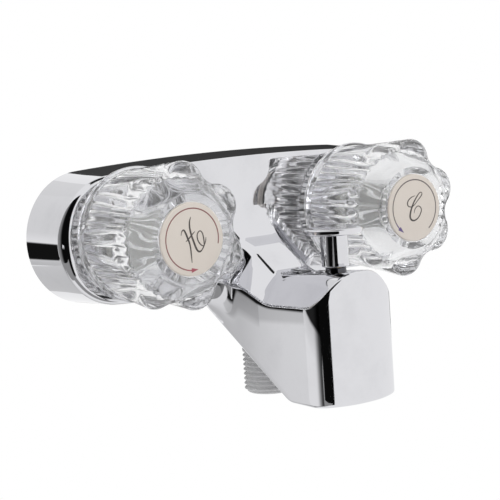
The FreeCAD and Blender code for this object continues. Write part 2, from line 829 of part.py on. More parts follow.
def lobe_angles():
    """Half the angle between lobes, and the angle where crest and hollow arcs meet."""
    half = math.pi / knob_lobes
    crest_centre = knob_crest_radius - knob_nose_radius
    cosine = math.cos(half)
    # The hollow's radius follows from the two arcs touching each other.
    top = crest_centre ** 2 + knob_valley_radius ** 2 - 2 * crest_centre * knob_valley_radius * cosine
    hollow_radius = (top - knob_nose_radius ** 2) / (
        2 * (knob_nose_radius - knob_valley_radius + crest_centre * cosine))
    hollow_centre = knob_valley_radius + hollow_radius
    share = knob_nose_radius / (knob_nose_radius + hollow_radius)
    meet_x = crest_centre + share * (hollow_centre * cosine - crest_centre)
    meet_y = share * hollow_centre * math.sin(half)
    return half, math.atan2(meet_y, meet_x), math.hypot(meet_x, meet_y)


def lobed_wire(x, y, turn, inset):
    """Seven-lobed outline of alternating crest and hollow arcs."""
    half, meet, meet_radius = lobe_angles()
    half = math.degrees(half)
    meet = math.degrees(meet)
    edges = []
    for lobe in range(knob_lobes):
        middle = turn + 2 * half * lobe
        before = polar(meet_radius - inset, middle - meet, x, y)
        after = polar(meet_radius - inset, middle + meet, x, y)
        following = polar(meet_radius - inset, middle + 2 * half - meet, x, y)
        edges.append(arc(before, polar(knob_crest_radius - inset, middle, x, y), after))
        edges.append(arc(after, polar(knob_valley_radius - inset, middle + half, x, y), following))
    return Part.Wire(edges)


def split_circle(x, y, turn, radius):
    """Circle cut at the same angles as the lobed outline, for lofting to it."""
    half, meet, _ = lobe_angles()
    half = math.degrees(half)
    meet = math.degrees(meet)
    edges = []
    for lobe in range(knob_lobes):
        middle = turn + 2 * half * lobe
        before = polar(radius, middle - meet, x, y)
        after = polar(radius, middle + meet, x, y)
        following = polar(radius, middle + 2 * half - meet, x, y)
        edges.append(arc(before, polar(radius, middle, x, y), after))
        edges.append(arc(after, polar(radius, middle + half, x, y), following))
    return Part.Wire(edges)


def fluted_wire(x, y, turn):
    """Outline of the knob's hollow, fluted all the way round."""
    step = FULL_TURN / knob_flutes
    points = []
    for flute in range(knob_flutes):
        angle = turn + step * flute
        points.append(polar(knob_cavity_radius, angle, x, y))
        points.append(polar(knob_cavity_radius + knob_flute_depth, angle + step / 2, x, y))
    return Part.makePolygon(points + points[:1])


def clear_knob(x, turn):
    """Clear knob: lobed skirt, fluted hollow, hub with a toothed bore and a button recess."""
    ring_front = knob_rear_y - knob_ring_height
    wires = [
        split_circle(x, ring_front, turn, knob_skirt_radius),
        lobed_wire(x, knob_front_y, turn, 0),
        lobed_wire(x, knob_front_y - knob_edge_depth, turn, knob_edge_inset),
        split_circle(x, knob_boss_y, turn, knob_boss_radius),
        split_circle(x, knob_rim_y, turn, knob_rim_radius),
    ]
    body = Part.makeLoft(wires, True, True)
    rear_ring = bar(knob_ring_radius, V(x, knob_rear_y, 0), V(x, ring_front, 0))
    hollow = Part.Face(fluted_wire(x, knob_rear_y, turn)).extrude(V(0, knob_cavity_floor_y - knob_rear_y, 0))
    hub = bar(knob_hub_radius, V(x, knob_hub_rear_y, 0), V(x, knob_cavity_floor_y, 0))
    mouth = bar(knob_mouth_radius, V(x, knob_rear_y, 0), V(x, knob_rear_y - knob_mouth_depth, 0))
    body = body.fuse(rear_ring).cut(hollow).cut(mouth).fuse(hub)
    bore = Part.Face(broach_wire(x, knob_hub_rear_y, broach_play)).extrude(V(0, stem_tip_y - knob_hub_rear_y, 0))
    recess = bar(button_radius + button_play, V(x, button_seat_y, 0), V(x, knob_rim_y - 1, 0))
    well = bar(screw_well_radius, V(x, screw_seat_y, 0), V(x, button_seat_y, 0))
    hole = bar(screw_radius + thread_play, V(x, stem_tip_y, 0), V(x, screw_seat_y, 0))
    return body.cut(bore).cut(recess).cut(well).cut(hole)


def handle_screw(x):
    """Slotted screw that pulls the knob onto the stem."""
    head_y = screw_seat_y - screw_head_height
    body = turned([
        (screw_seat_y + screw_length, 0), (screw_seat_y + screw_length, screw_radius),
        (screw_seat_y, screw_radius), (screw_seat_y, screw_head_radius),
        (head_y + screw_head_edge, screw_head_radius), (head_y, screw_head_radius - screw_head_edge), (head_y, 0),
    ], V(x, 0, 0), ALONG_Y)
    half = screw_slot / 2
    reach = screw_head_radius + 1
    return body.cut(block(x - reach, x + reach, head_y, head_y + screw_slot, -half, half))


def index_button(x):
    """Disc that hides the screw and tells hot from cold."""
    front = button_seat_y - button_height
    return turned([
        (button_seat_y, 0), (button_seat_y, button_radius), (front + button_edge, button_radius),
        (front, button_radius - button_edge), (front, 0),
    ], V(x, 0, 0), ALONG_Y)


def branch_frame():
    """Start and unit direction of the tube that runs down the spout."""
    start = V(0, manifold_y, branch_start_z)
    knee = V(0, -tube_knee_reach, tube_port_z)
    return start, knee, (knee - start).normalize()


def manifold():
    """Cross tube that mixes hot and cold, with the drop and boss for the spout tube."""
    end_x = inlet_spacing / 2 - collar_radius + tube_insert
    left = V(-end_x, manifold_y, 0)
    right = V(end_x, manifold_y, 0)
    top = V(0, manifold_y, drop_top_z)
    low = V(0, manifold_y, drop_end_z)
    start, _, way = branch_frame()
    body = bar(tube_radius, left, right).fuse(bar(drop_radius, low, top))
    body = body.fuse(bar(branch_boss_radius, start, start + way * branch_boss_length))
    drop_bore = bar(tube_bore, V(0, manifold_y, 0), low + V(0, 0, drop_radius - tube_bore))
    body = body.cut(bar(tube_bore, left, right)).cut(drop_bore)
    body = body.cut(bar(tube_bore, start, start + way * branch_socket_start))
    socket = bar(tube_radius + socket_play, start + way * branch_socket_start,
                 start + way * 2 * branch_boss_length)
    return body.cut(socket).removeSplitter()


def spigot_top():
    """Height of the spout tube's axis above the shower outlet."""
    start, _, way = branch_frame()
    return start.z + way.z / way.y * (outlet_y - start.y)


def spout_tube():
    """Tube from the manifold to the diverter port, with the shower spigot and gate rails."""
    start, knee, way = branch_frame()
    tail = start + way * branch_socket_start
    port = V(0, bulkhead_y + bulkhead_thickness, tube_port_z)
    front = V(0, bulkhead_y, tube_port_z)
    spigot_high = V(0, outlet_y, spigot_top())
    spigot_low = V(0, outlet_y, spigot_end_z)
    slab = block(-spout_half_width, spout_half_width, bulkhead_y, bulkhead_y + bulkhead_thickness,
                 spout_bottom_z, 0)
    bulkhead = spout_form(shell_wall + bulkhead_play).common(slab)
    body = bar(tube_radius, tail, knee).fuse(Part.makeSphere(tube_radius, knee))
    body = body.fuse(bar(tube_radius, knee, port)).fuse(bar(spigot_radius, spigot_high, spigot_low))
    body = body.fuse(bulkhead)
    body = body.cut(bar(tube_bore, tail, knee)).cut(Part.makeSphere(tube_bore, knee))
    body = body.cut(bar(tube_bore, knee, port)).cut(bar(diverter_port_radius, port, front))
    body = body.cut(bar(spigot_bore, spigot_high, spigot_low))
    half = outlet_ring_wire + groove_side_play
    floor = outlet_bore - 2 * outlet_ring_wire
    groove = turned([
        (spigot_groove_z - half, floor), (spigot_groove_z - half, outlet_bore + 1),
        (spigot_groove_z + half, outlet_bore + 1), (spigot_groove_z + half, floor),
    ], V(0, outlet_y, 0), ALONG_Z)
    body = body.cut(groove)
    rail_x = gate_half_width + gate_play
    rail_front = rod_y - gate_front_margin
    low_z = gate_bottom_z() - guide_rail_margin
    high_z = gate_bottom_z() + gate_height + diverter_travel + guide_rail_margin
    for side in BOTH_SIDES:
        rail = block(side * rail_x, side * (rail_x + guide_rail_width), bulkhead_y, rail_front, low_z, high_z)
        body = body.fuse(rail)
    return body.removeSplitter()


def outlet_ring():
    """Ring that seals the shower outlet to its spigot."""
    return ring(V(0, outlet_y, spigot_groove_z), ALONG_Z, outlet_bore - outlet_ring_wire, outlet_ring_wire)


def shower_outlet():
    """Threaded outlet under the spout, its top cut to the slope of the underside."""
    top_z = underside_height(outlet_reach - 2 * outlet_neck_radius, shell_wall)
    body = turned([
        (outlet_end_z, outlet_lower_bore), (outlet_end_z, pipe_radius - outlet_chamfer),
        (outlet_end_z + outlet_chamfer, pipe_radius), (outlet_thread_top_z, pipe_radius),
        (outlet_thread_top_z, outlet_neck_radius), (top_z, outlet_neck_radius), (top_z, outlet_bore),
        (spigot_end_z, outlet_bore), (spigot_end_z, outlet_lower_bore),
    ], V(0, outlet_y, 0), ALONG_Z)
    near = outlet_reach - 2 * outlet_neck_radius
    far = outlet_reach + 2 * outlet_neck_radius
    lift = shell_wall + outlet_top_margin
    points = [
        V(-2 * outlet_neck_radius, -near, underside_height(near, lift)),
        V(-2 * outlet_neck_radius, -far, underside_height(far, lift)),
        V(-2 * outlet_neck_radius, -far, 0),
        V(-2 * outlet_neck_radius, -near, 0),
    ]
    return body.cut(prism(points, V(4 * outlet_neck_radius, 0, 0)))


def gate_bottom_z():
    """Height of the gate's lower edge while water runs to the tub."""
    return tube_port_z - diverter_travel - gate_height / 2


def rod_bottom_z():
    """Height of the rod's lower end, gripped in the gate."""
    return gate_bottom_z() + gate_height - rod_grip


def rod_bush():
    """Plated bush in the spout's top with the nut that holds it from inside."""
    seat_z = bush_seat_z()
    nut_low = seat_z - bush_nut_height
    bore = rod_radius + running_play
    pocket = bore + 2 * bush_ring_wire
    return turned([
        (bush_top_z(), bore), (bush_top_z(), bush_neck_radius), (seat_z, bush_neck_radius),
        (seat_z, bush_nut_radius), (nut_low, bush_nut_radius), (nut_low, pocket),
        (nut_low + bush_ring_pocket, pocket), (nut_low + bush_ring_pocket, bore),
    ], V(0, rod_y, 0), ALONG_Z)


def rod_ring():
    """Ring round the lift rod."""
    height = bush_seat_z() - bush_nut_height + bush_ring_pocket - bush_ring_wire
    return ring(V(0, rod_y, height), ALONG_Z, rod_radius + running_play + bush_ring_wire, bush_ring_wire)


def lift_knob():
    """Round post and disc that lift the diverter."""
    low = bush_top_z() + lift_knob_gap
    neck = lift_post_top_z()
    top = neck + lift_disc_height
    return turned([
        (low, rod_radius), (low, lift_post_radius), (neck, lift_post_radius),
        (neck, lift_disc_radius - lift_disc_edge), (neck + lift_disc_edge, lift_disc_radius),
        (top - lift_disc_edge, lift_disc_radius), (top, lift_disc_radius - lift_disc_edge), (top, 0),
        (neck - lift_bore_end, 0), (neck - lift_bore_end, rod_radius),
    ], V(0, rod_y, 0), ALONG_Z)


def lift_rod():
    """Rod from the lift knob down to the gate."""
    return bar(rod_radius, V(0, rod_y, rod_bottom_z()), V(0, rod_y, lift_post_top_z() - lift_bore_end))


def gate_rear_y():
    """Rear face of the gate, where its seal is fixed."""
    return bulkhead_y - gate_seal_gap - gate_seal_thickness


def diverter_gate():
    """Plate that carries the seal up and down in front of the port."""
    low = gate_bottom_z()
    body = block(-gate_half_width, gate_half_width, rod_y - gate_front_margin, gate_rear_y(),
                 low, low + gate_height)
    return body.cut(bar(rod_radius, V(0, rod_y, rod_bottom_z()), V(0, rod_y, low + gate_height)))


def gate_seal():
    """Rubber disc that closes the port when the gate is up."""
    middle_z = gate_bottom_z() + gate_height / 2
    rear = gate_rear_y() + gate_seal_thickness
    return bar(gate_seal_radius, V(0, gate_rear_y(), middle_z), V(0, rear, middle_z))


def save(name, shape):
    """Write one sub-part and report its size."""
    print(name, len(shape.Solids), shape.isValid(), round(shape.Volume, 1))
    shape.exportStep("parts/" + name + ".step")


def build():
    """Build every sub-part."""
    os.makedirs("parts", exist_ok=True)
    save("chrome_shell", chrome_shell())
    save("wall_gasket", wall_gasket())
    save("manifold", manifold())
    save("spout_tube", spout_tube())
    save("shower_outlet", shower_outlet())
    save("outlet_ring", outlet_ring())
    save("rod_bush", rod_bush())
    save("rod_ring", rod_ring())
    save("lift_knob", lift_knob())
    save("lift_rod", lift_rod())
    save("diverter_gate", diverter_gate())
    save("gate_seal", gate_seal())
    half = inlet_spacing / 2
    for side, x, turn in (("hot", -half, hot_knob_angle), ("cold", half, cold_knob_angle)):
        towards_middle = 1 if x < 0 else -1
        save(side + "_valve_body", valve_body(x, towards_middle))
        save(side + "_seat", seat(x))
        save(side + "_seat_spring", seat_spring(x))
        save(side + "_stem_guide", stem_guide(x))
        save(side + "_guide_ring", guide_ring(x))
        save(side + "_bonnet_nut", bonnet_nut(x))
        save(side + "_lock_nut", lock_nut(x))
        save(side + "_shank_washer", shank_washer(x))
        save(side + "_stem", stem(x))
        save(side + "_stem_ring", stem_ring(x))
        save(side + "_knob", clear_knob(x, turn))
        save(side + "_screw", handle_screw(x))
        save(side + "_index_button", index_button(x))


build()
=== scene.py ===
import json
import math

import bmesh
import bpy
from mathutils import Matrix, Vector


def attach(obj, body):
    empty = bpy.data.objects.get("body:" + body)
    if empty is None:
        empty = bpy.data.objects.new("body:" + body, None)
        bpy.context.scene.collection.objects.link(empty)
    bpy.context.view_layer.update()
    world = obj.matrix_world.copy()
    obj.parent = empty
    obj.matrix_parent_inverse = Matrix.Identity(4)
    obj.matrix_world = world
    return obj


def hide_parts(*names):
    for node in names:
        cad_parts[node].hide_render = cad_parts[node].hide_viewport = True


# Wall-mounted tub and shower faucet: chrome shell, two clear lobed knobs, lift-knob diverter.
# The faucet's lengths are written in millimetres and scaled once, when a mesh is made, and the
# studio's are in metres. X runs along the wall, Y into the wall and Z up; "reach" is the
# distance from the wall into the room.

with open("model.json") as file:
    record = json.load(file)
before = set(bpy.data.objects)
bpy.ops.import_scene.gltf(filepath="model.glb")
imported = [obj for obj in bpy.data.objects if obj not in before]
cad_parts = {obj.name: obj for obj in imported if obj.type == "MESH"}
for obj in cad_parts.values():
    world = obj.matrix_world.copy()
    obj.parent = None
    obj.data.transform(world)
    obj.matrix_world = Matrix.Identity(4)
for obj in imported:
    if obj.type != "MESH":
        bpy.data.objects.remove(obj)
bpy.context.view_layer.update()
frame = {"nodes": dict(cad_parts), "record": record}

MM = 0.001
TAU = 2 * math.pi
TO_ROOM = (0, -1, 0)
TO_COLD = (1, 0, 0)
UP = (0, 0, 1)

# Camera fitted to the photograph
camera_place = (-327.895, -502.314, 56.228)
camera_right = Vector((0.8174, -0.5719, -0.0685))
camera_up = Vector((0.1233, 0.0576, 0.9907))
camera_lens = 108.42
camera_sensor = 36.0

# Wall plate
inlet_spacing = 101.6
plate_half_length = 82.2
plate_half_height = 26.8
plate_drop = 1.4
plate_depth = 25.8
plate_end_radius = 26.0
plate_corner_radius = 23.0
plate_crown_radius = 950.0
plate_draft = 1.2
plate_edge_radius = 2.0
end_edge_radius = 4.4
shell_wall = 2.4
rib_count = 8
rib_pitch = 16.5
rib_thickness = 1.6
rib_depth = 4.0
gasket_thickness = 2.0

# Spout
spout_half_width = 18.3
spout_reach = 93.2
spout_nose_radius = 29.0
spout_corner_radius = 7.0
spout_root_radius = 15.0
root_start_angle = 4.0
deck_foot_z = -2.6
deck_fall = math.radians(31.0)
deck_rise = math.radians(5.0)
deck_knee_reach = 53.5
knee_radius = 14.0
deck_half_width = 8.0
root_deck_half_width = 11.3
root_shoulder_z = -16.0
facet_hollow = 0.2
root_hollow = 2.4
shoulder_line = ((41.0, -22.3), (47.0, -23.6), (53.5, -26.0), (60.0, -28.3), (97.0, -26.8))
spout_bottom_z = -63.0
underside_start_reach = 10.5
underside_start_z = -27.3
underside_end_reach = 70.0
heel_radius = 8.0
skirt_top_z = -14.0
skirt_end_z = -36.0
side_edge_radius = 1.1
nose_edge_radius = 1.8
least_edge_radius = 0.3
nose_start_reach = 80.0
nose_turn = 9.0
bottom_edge_radius = 1.2
deck_edge_blend = 0.7
nose_edge_blend = 6.5
arch_start_reach = 60.0
arch_run = 33.0
skirt_blend = 3.0
mouth_half_width = 12.4
mouth_rear_reach = 75.0
mouth_front_reach = 87.5
mouth_corner_radius = 4.0
outlet_reach = 34.0
diverter_reach = 78.8

# Holes through the shell
valve_hole_radius = 12.8
rod_hole_radius = 3.75
outlet_hole_radius = 10.3

# Meshes: gaps that are closed, and the radius given to a point on a turned piece's axis
weld_gap = 0.002
mirror_gap = 0.004
axis_radius = 0.0005

FAUCET = "faucet_body"
valve_x = {"hot": -inlet_spacing / 2, "cold": inlet_spacing / 2}


def deselect():
    """Leave edit mode with nothing selected."""
    if bpy.context.object and bpy.context.object.mode != "OBJECT":
        bpy.ops.object.mode_set(mode="OBJECT")
    bpy.ops.object.select_all(action="DESELECT")


def pick(piece):
    """Make one piece the only selected and active one."""
    deselect()
    piece.select_set(True)
    bpy.context.view_layer.objects.active = piece


def edit_all(piece):
    """Open a piece in edit mode with all of it selected."""
    pick(piece)
    bpy.ops.object.mode_set(mode="EDIT")
    bpy.ops.mesh.select_all(action="SELECT")


def face_outwards():
    """Point all faces of the mesh in edit mode outwards, and leave edit mode."""
    bpy.ops.mesh.select_all(action="SELECT")
    bpy.ops.mesh.normals_make_consistent(inside=False)
    bpy.ops.object.mode_set(mode="OBJECT")


def tidy(piece):
    """Merge doubles and point every face outwards."""
    edit_all(piece)
    bpy.ops.mesh.remove_doubles(threshold=weld_gap * MM)
    face_outwards()


def smooth(piece, degrees=32.0):
    """Smooth shading that keeps edges sharper than an angle."""
    pick(piece)
    bpy.ops.object.shade_smooth_by_angle(angle=math.radians(degrees))


def apply_modifiers(piece):
    """Apply what is on a piece's modifier stack."""
    pick(piece)
    for modifier in list(piece.modifiers):
        bpy.ops.object.modifier_apply(modifier=modifier.name)


def named(piece, name):
    """Give a piece and its mesh a name."""
    piece.name = name
    piece.data.name = name
    return piece


def draped_grid(name, rows):
    """A grid primitive whose corners are carried to rows of points."""
    deselect()
    bpy.ops.mesh.primitive_grid_add(x_subdivisions=len(rows[0]) - 1, y_subdivisions=len(rows) - 1)
    piece = named(bpy.context.object, name)
    places = [value * MM for row in rows for point in row for value in point]
    piece.data.vertices.foreach_set("co", places)
    piece.data.update()
    return piece


def closed_form(name, rows, across):
    """Solid from rows of points on part of it: mirrored across the axes, welded, ends filled."""
    piece = draped_grid(name, rows)
    modifier = piece.modifiers.new("mirror", "MIRROR")
    modifier.use_axis = across
    modifier.merge_threshold = mirror_gap * MM
    apply_modifiers(piece)
    tidy(piece)
    edit_all(piece)
    bpy.ops.mesh.fill_holes(sides=0)
    face_outwards()
    return piece


def combine(piece, tool, operation="DIFFERENCE"):
    """Cut or join a tool with a piece, and drop the tool."""
    modifier = piece.modifiers.new(operation, "BOOLEAN")
    modifier.operation = operation
    modifier.solver = "EXACT"
    modifier.object = tool
    apply_modifiers(piece)
    bpy.data.objects.remove(tool, do_unlink=True)


def aimed(place, way):
    """Matrix that carries a form made round Z to a place, and turns its Z along a way."""
    turn = Vector(way).to_track_quat("Z", "Y").to_matrix().to_4x4()
    return Matrix.Translation(Vector(place)) @ turn


def cylinder(radius, start, end, segments=64):
    """Round tool between two points in millimetres."""
    deselect()
    start, end = Vector(start), Vector(end)
    length = (end - start).length
    bpy.ops.mesh.primitive_cylinder_add(vertices=segments, radius=radius * MM, depth=length * MM)
    piece = bpy.context.object
    piece.data.transform(aimed((start + end) / 2 * MM, end - start))
    return piece


def brick(x0, x1, y0, y1, z0, z1):
    """Rectangular tool between two values on each axis."""
    deselect()
    bpy.ops.mesh.primitive_cube_add(size=1)
    piece = bpy.context.object
    middle = Vector(((x0 + x1) / 2, (y0 + y1) / 2, (z0 + z1) / 2)) * MM
    size = Vector((abs(x1 - x0), abs(y1 - y0), abs(z1 - z0))) * MM
    piece.data.transform(Matrix.Translation(middle) @ Matrix.Diagonal((*size, 1)))
    return piece


def join(pieces, name):
    """Put several pieces in one mesh."""
    pick(pieces[0])
    for piece in pieces:
        piece.select_set(True)
    bpy.ops.object.join()
    return named(bpy.context.object, name)


def softened(profile, radii, steps=5):
    """Profile with its inner corners rounded by arcs of the given radii."""
    points = [profile[0]]
    for before, corner, after, radius in zip(profile, profile[1:], profile[2:], radii):
        if not radius:
            points.append(corner)
            continue
        here, start, end = Vector(corner), Vector(before), Vector(after)
        back, on = (start - here).normalized(), (end - here).normalized()
        half = back.angle(on) / 2
        run = radius / math.tan(half)
        centre = here + (back + on).normalized() * radius / math.sin(half)
        first, last = here + back * run - centre, here + on * run - centre
        sweep = first.angle_signed(last)
        for step in range(steps + 1):
            angle = -sweep * step / steps
            cos, sin = math.cos(angle), math.sin(angle)
            points.append((centre.x + first.x * cos - first.y * sin,
                           centre.y + first.x * sin + first.y * cos))
    points.append(profile[-1])
    return points


def stand(piece, foot, along):
    """Stand a form made round Z on a foot point, pointing along an axis, and finish its mesh."""
    piece.data.transform(aimed(Vector(foot) * MM, along))
    tidy(piece)
    smooth(piece)
    return piece


def turned(name, profile, foot, along, segments=96):
    """Round piece: a circle extruded and resized from one profile point to the next."""
    deselect()
    profile = [(height, max(radius, axis_radius)) for height, radius in profile]
    height, radius = profile[0]
    bpy.ops.mesh.primitive_circle_add(vertices=segments, radius=radius * MM)
    piece = named(bpy.context.object, name)
    edit_all(piece)
    bpy.ops.transform.translate(value=(0, 0, height * MM))
    for next_height, next_radius in profile[1:]:
        rise = (0, 0, (next_height - height) * MM)
        bpy.ops.mesh.extrude_region_move(TRANSFORM_OT_translate={"value": rise})
        share = next_radius / radius
        bpy.ops.transform.resize(value=(share, share, 1))
        height, radius = next_height, next_radius
    bpy.ops.object.mode_set(mode="OBJECT")
    return stand(piece, foot, along)


def ringed(name, rings, foot, along, segments, closed=False):
    """Round piece of rings, each a height with a radius or a function that gives the radius."""
    rows = []
    for height, radius in rings + (rings[:1] if closed else []):
        row = []
        for step in range(segments + 1):
            angle = TAU * (step % segments) / segments
            here = max(radius(height, angle) if callable(radius) else radius, axis_radius)
            row.append((here * math.cos(angle), here * math.sin(angle), height))
        rows.append(row)
    return stand(draped_grid(name, rows), foot, along)


def soft_min(a, b, width):
    """The lesser of two values, rounded where they cross."""
    near = max(width - abs(a - b), 0) / width
    return min(a, b) - near * near * width / 4


def blend(a, b, share):
    """Value between two others."""
    return a + (b - a) * share


def clamped(value):
    """Value kept between 0 and 1."""
    return min(max(value, 0), 1)


def plate_outline(inset, y, samples=(9, 14, 12)):
    """Quarter of the oblong outline: crown, corner and end arcs that meet in tangents."""
    crown = Vector((0, plate_half_height - plate_crown_radius))
    end = Vector((plate_half_length - plate_end_radius, 0))
    to_crown = plate_crown_radius - plate_corner_radius
    to_end = plate_end_radius - plate_corner_radius
    apart = (end - crown).length
    way = (end - crown) / apart
    run = (to_crown ** 2 - to_end ** 2 + apart ** 2) / (2 * apart)
    corner = crown + way * run + Vector((way.y, -way.x)) * math.sqrt(to_crown ** 2 - run ** 2)
    crown_way = math.atan2(*(corner - crown).yx)
    end_way = math.atan2(*(corner - end).yx)
    stretches = (
        (crown, plate_crown_radius, math.pi / 2, crown_way, samples[0]),
        (corner, plate_corner_radius, crown_way, end_way, samples[1]),
        (end, plate_end_radius, end_way, 0.0, samples[2]),
    )
    points = []
    for centre, radius, first, last, count in stretches:
        for step in range(count):
            angle = first + (last - first) * step / count
            points.append((centre.x + (radius - inset) * math.cos(angle), y,
                           centre.y + (radius - inset) * math.sin(angle)))
    points.append((plate_half_length - inset, y, 0))
    return points


def plate_solid(name, rows):
    """Closed oblong block, a little below the valves, through quarter rows of points."""
    block = closed_form(name, rows, (True, False, True))
    block.data.transform(Matrix.Translation((0, 0, -plate_drop * MM)))
    return block


def plate_outside():
    """Wall plate with its front edge rounded, most of all at the two ends."""
    steps = 9
    flat_border = 0.4
    rim = plate_outline(0, 0)
    ways = [(outer[0] - inner[0], outer[2] - inner[2])
            for outer, inner in zip(rim, plate_outline(1, 0))]
    radii = [blend(plate_edge_radius, end_edge_radius, way[0] ** 6) for way in ways]

    def row(place):
        points = []
        for (x, _, z), (way_x, way_z), radius in zip(rim, ways, radii):
            inset, y = place(radius)
            points.append((x - inset * way_x, y, z - inset * way_z))
        return points

    rows = [row(lambda radius: (0, 0)),
            row(lambda radius: (plate_draft / 2, (radius - plate_depth) / 2))]
    for step in range(steps + 1):
        angle = math.pi / 2 * step / steps
        rows.append(row(lambda radius: (plate_draft + radius * (1 - math.cos(angle)),
                                        radius - plate_depth - radius * math.sin(angle))))
    rows.append(row(lambda radius: (plate_draft + radius + flat_border, -plate_depth)))
    return plate_solid("plate_outside", rows)


def plate_inside():
    """Hollow of the wall plate, open through the rear."""
    steps = 3
    corner, relief, past_rim = 1.0, 0.04, 1.0
    inner_y = -plate_depth + shell_wall
    rows = [plate_outline(shell_wall - relief, past_rim)]
    for step in range(steps + 1):
        angle = math.pi / 2 * step / steps
        rows.append(plate_outline(shell_wall + plate_draft + corner * (1 - math.cos(angle)),
                                  inner_y + corner - corner * math.sin(angle)))
    return plate_solid("plate_inside", rows)


def root_flare(reach, inset=0.0):
    """Extra half width of the spout where it flares into the plate."""
    radius = spout_root_radius + inset
    left = plate_depth + spout_root_radius - reach
    left = min(max(left, 0), radius * math.cos(math.radians(root_start_angle)))
    return radius - math.sqrt(radius ** 2 - left ** 2)


def deck_height(reach, inset=0.0):
    """Height of the deck along its middle: hollow root, straight fall, bent knee, level end."""
    root = spout_root_radius + inset
    root_centre = plate_depth + spout_root_radius
    tangent = knee_radius * math.tan((deck_fall + deck_rise) / 2)
    knee_start = deck_knee_reach - tangent * math.cos(deck_fall)
    knee_end = deck_knee_reach + tangent * math.cos(deck_rise)
    if reach < root_centre - root * math.sin(deck_fall):
        lift = spout_root_radius / math.cos(deck_fall) - math.tan(deck_fall) * spout_root_radius
        left = min(root_centre - reach, root * math.cos(math.radians(root_start_angle)))
        return deck_foot_z + lift - math.sqrt(root ** 2 - left ** 2)
    fall_z = deck_foot_z - math.tan(deck_fall) * (reach - plate_depth) - inset / math.cos(deck_fall)
    if reach <= knee_start:
        return fall_z
    knee_z = deck_foot_z - math.tan(deck_fall) * (deck_knee_reach - plate_depth)
    if reach >= knee_end:
        rise = math.tan(deck_rise) * (reach - deck_knee_reach)
        return knee_z + rise - inset / math.cos(deck_rise)
    foot = deck_foot_z - math.tan(deck_fall) * (knee_start - plate_depth)
    centre = knee_start + knee_radius * math.sin(deck_fall)
    centre_z = foot + knee_radius * math.cos(deck_fall)
    return centre_z - math.sqrt((knee_radius + inset) ** 2 - (centre - reach) ** 2)


def shoulder_height(reach):
    """Height of the edge between a slanting facet and the spout's side."""
    start_reach, start_z = shoulder_line[0]
    if reach <= start_reach:
        return start_z + (root_shoulder_z - start_z) * root_flare(reach) / spout_root_radius
    # The mean over a few millimetres bends the line softly at its points, so no facet has a kink.
    total = 0.0
    spread = (-3.0, -1.5, 0.0, 1.5, 3.0)
    for shift in spread:
        place = max(reach + shift, start_reach)
        for (low, low_z), (high, high_z) in zip(shoulder_line, shoulder_line[1:]):
            if place <= high:
                total += blend(low_z, high_z, (place - low) / (high - low))
                break
        else:
            total += shoulder_line[-1][1]
    return total / len(spread)


def top_height(x, reach, inset=0.0):
    """Height of the spout's top: level across the deck, then down the hollow facet."""
    share = root_flare(reach) / spout_root_radius
    deck_half = blend(deck_half_width, root_deck_half_width, share)
    hollow = blend(facet_hollow, root_hollow, share)
    deck_z = deck_height(reach)
    shoulder_x = spout_half_width + root_flare(reach)
    run, drop = shoulder_x - deck_half, deck_z - shoulder_height(reach)
    lean = math.hypot(run, drop) / run
    t = (abs(x) - deck_half) / run
    facet_z = deck_z - t * drop - hollow * 4 * t * (1 - t) * lean - inset * lean
    arch = clamped((reach - arch_start_reach) / arch_run)
    return soft_min(deck_height(reach, inset), facet_z,
                    blend(deck_edge_blend, nose_edge_blend, arch))


def underside_height(reach, inset=0.0):
    """Height of the sloping underside, its rounded heel and the flat bottom."""
    fall = (underside_start_z - spout_bottom_z) / (underside_end_reach - underside_start_reach)
    slope = math.atan(fall)
    end = underside_end_reach + heel_radius * math.tan(slope / 2)
    radius = heel_radius - inset
    if reach >= end:
        return spout_bottom_z + inset
    if reach <= end - radius * math.sin(slope):
        return underside_start_z - fall * (reach - underside_start_reach) + inset / math.cos(slope)
    return spout_bottom_z + heel_radius - math.sqrt(radius ** 2 - (end - reach) ** 2)


def skirt_width(z, inset):
    """Half width that the flared root may have at a height, drawn in below the plate."""
    wide = spout_half_width + spout_root_radius + 1.0 - inset
    slim = spout_half_width + 0.05 - inset
    run, drop = wide - slim, skirt_top_z - skirt_end_z
    lift = inset * (math.hypot(run, drop) - drop) / run
    return blend(wide, slim, clamped((skirt_top_z + lift - z) / drop))


def spout_spokes(inset):
    """Pairs of points seen from above, from the deck's middle to the spout's outline."""
    root_steps, corner_steps, nose_steps = 18, 16, 20
    straight_step, corner_gap = 1.25, 0.8
    fan_start, fan_end = 78.0, 88.0
    half = spout_half_width - inset
    corner = spout_corner_radius - inset
    nose = spout_nose_radius - inset
    nose_centre = spout_reach - spout_nose_radius
    corner_x = half - corner
    corner_reach = nose_centre + math.sqrt((nose - corner) ** 2 - corner_x ** 2)
    meet = math.atan2(corner_reach - nose_centre, corner_x)
    root_end = plate_depth + spout_root_radius
    root = spout_root_radius + inset
    reaches = [3.0, 7.0, 11.0, 15.0, 20.0, 24.0]
    for step in range(root_steps):
        angle = blend(math.radians(root_start_angle), math.pi / 2, step / root_steps)
        reaches.append(root_end - root * math.cos(angle) - (0.01 if step == 0 else 0))
    reach = root_end
    while reach < corner_reach - corner_gap:
        reaches.append(reach)
        reach += straight_step
    plane = plate_depth - inset
    pairs = [((0, reach), (half + root_flare(max(reach, plane), inset), reach))
             for reach in reaches if reach <= fan_start]
    outline = [(half, reach) for reach in reaches if reach > fan_start]
    for step in range(corner_steps):
        angle = meet * step / corner_steps
        outline.append((corner_x + corner * math.cos(angle),
                        corner_reach + corner * math.sin(angle)))
    for step in range(nose_steps + 1):
        angle = blend(meet, math.pi / 2, step / nose_steps)
        outline.append((nose * math.cos(angle), nose_centre + nose * math.sin(angle)))
    for step, point in enumerate(outline):
        share = (step + 1) / len(outline)
        pairs.append(((0, blend(fan_start, fan_end, share)), point))
    return pairs


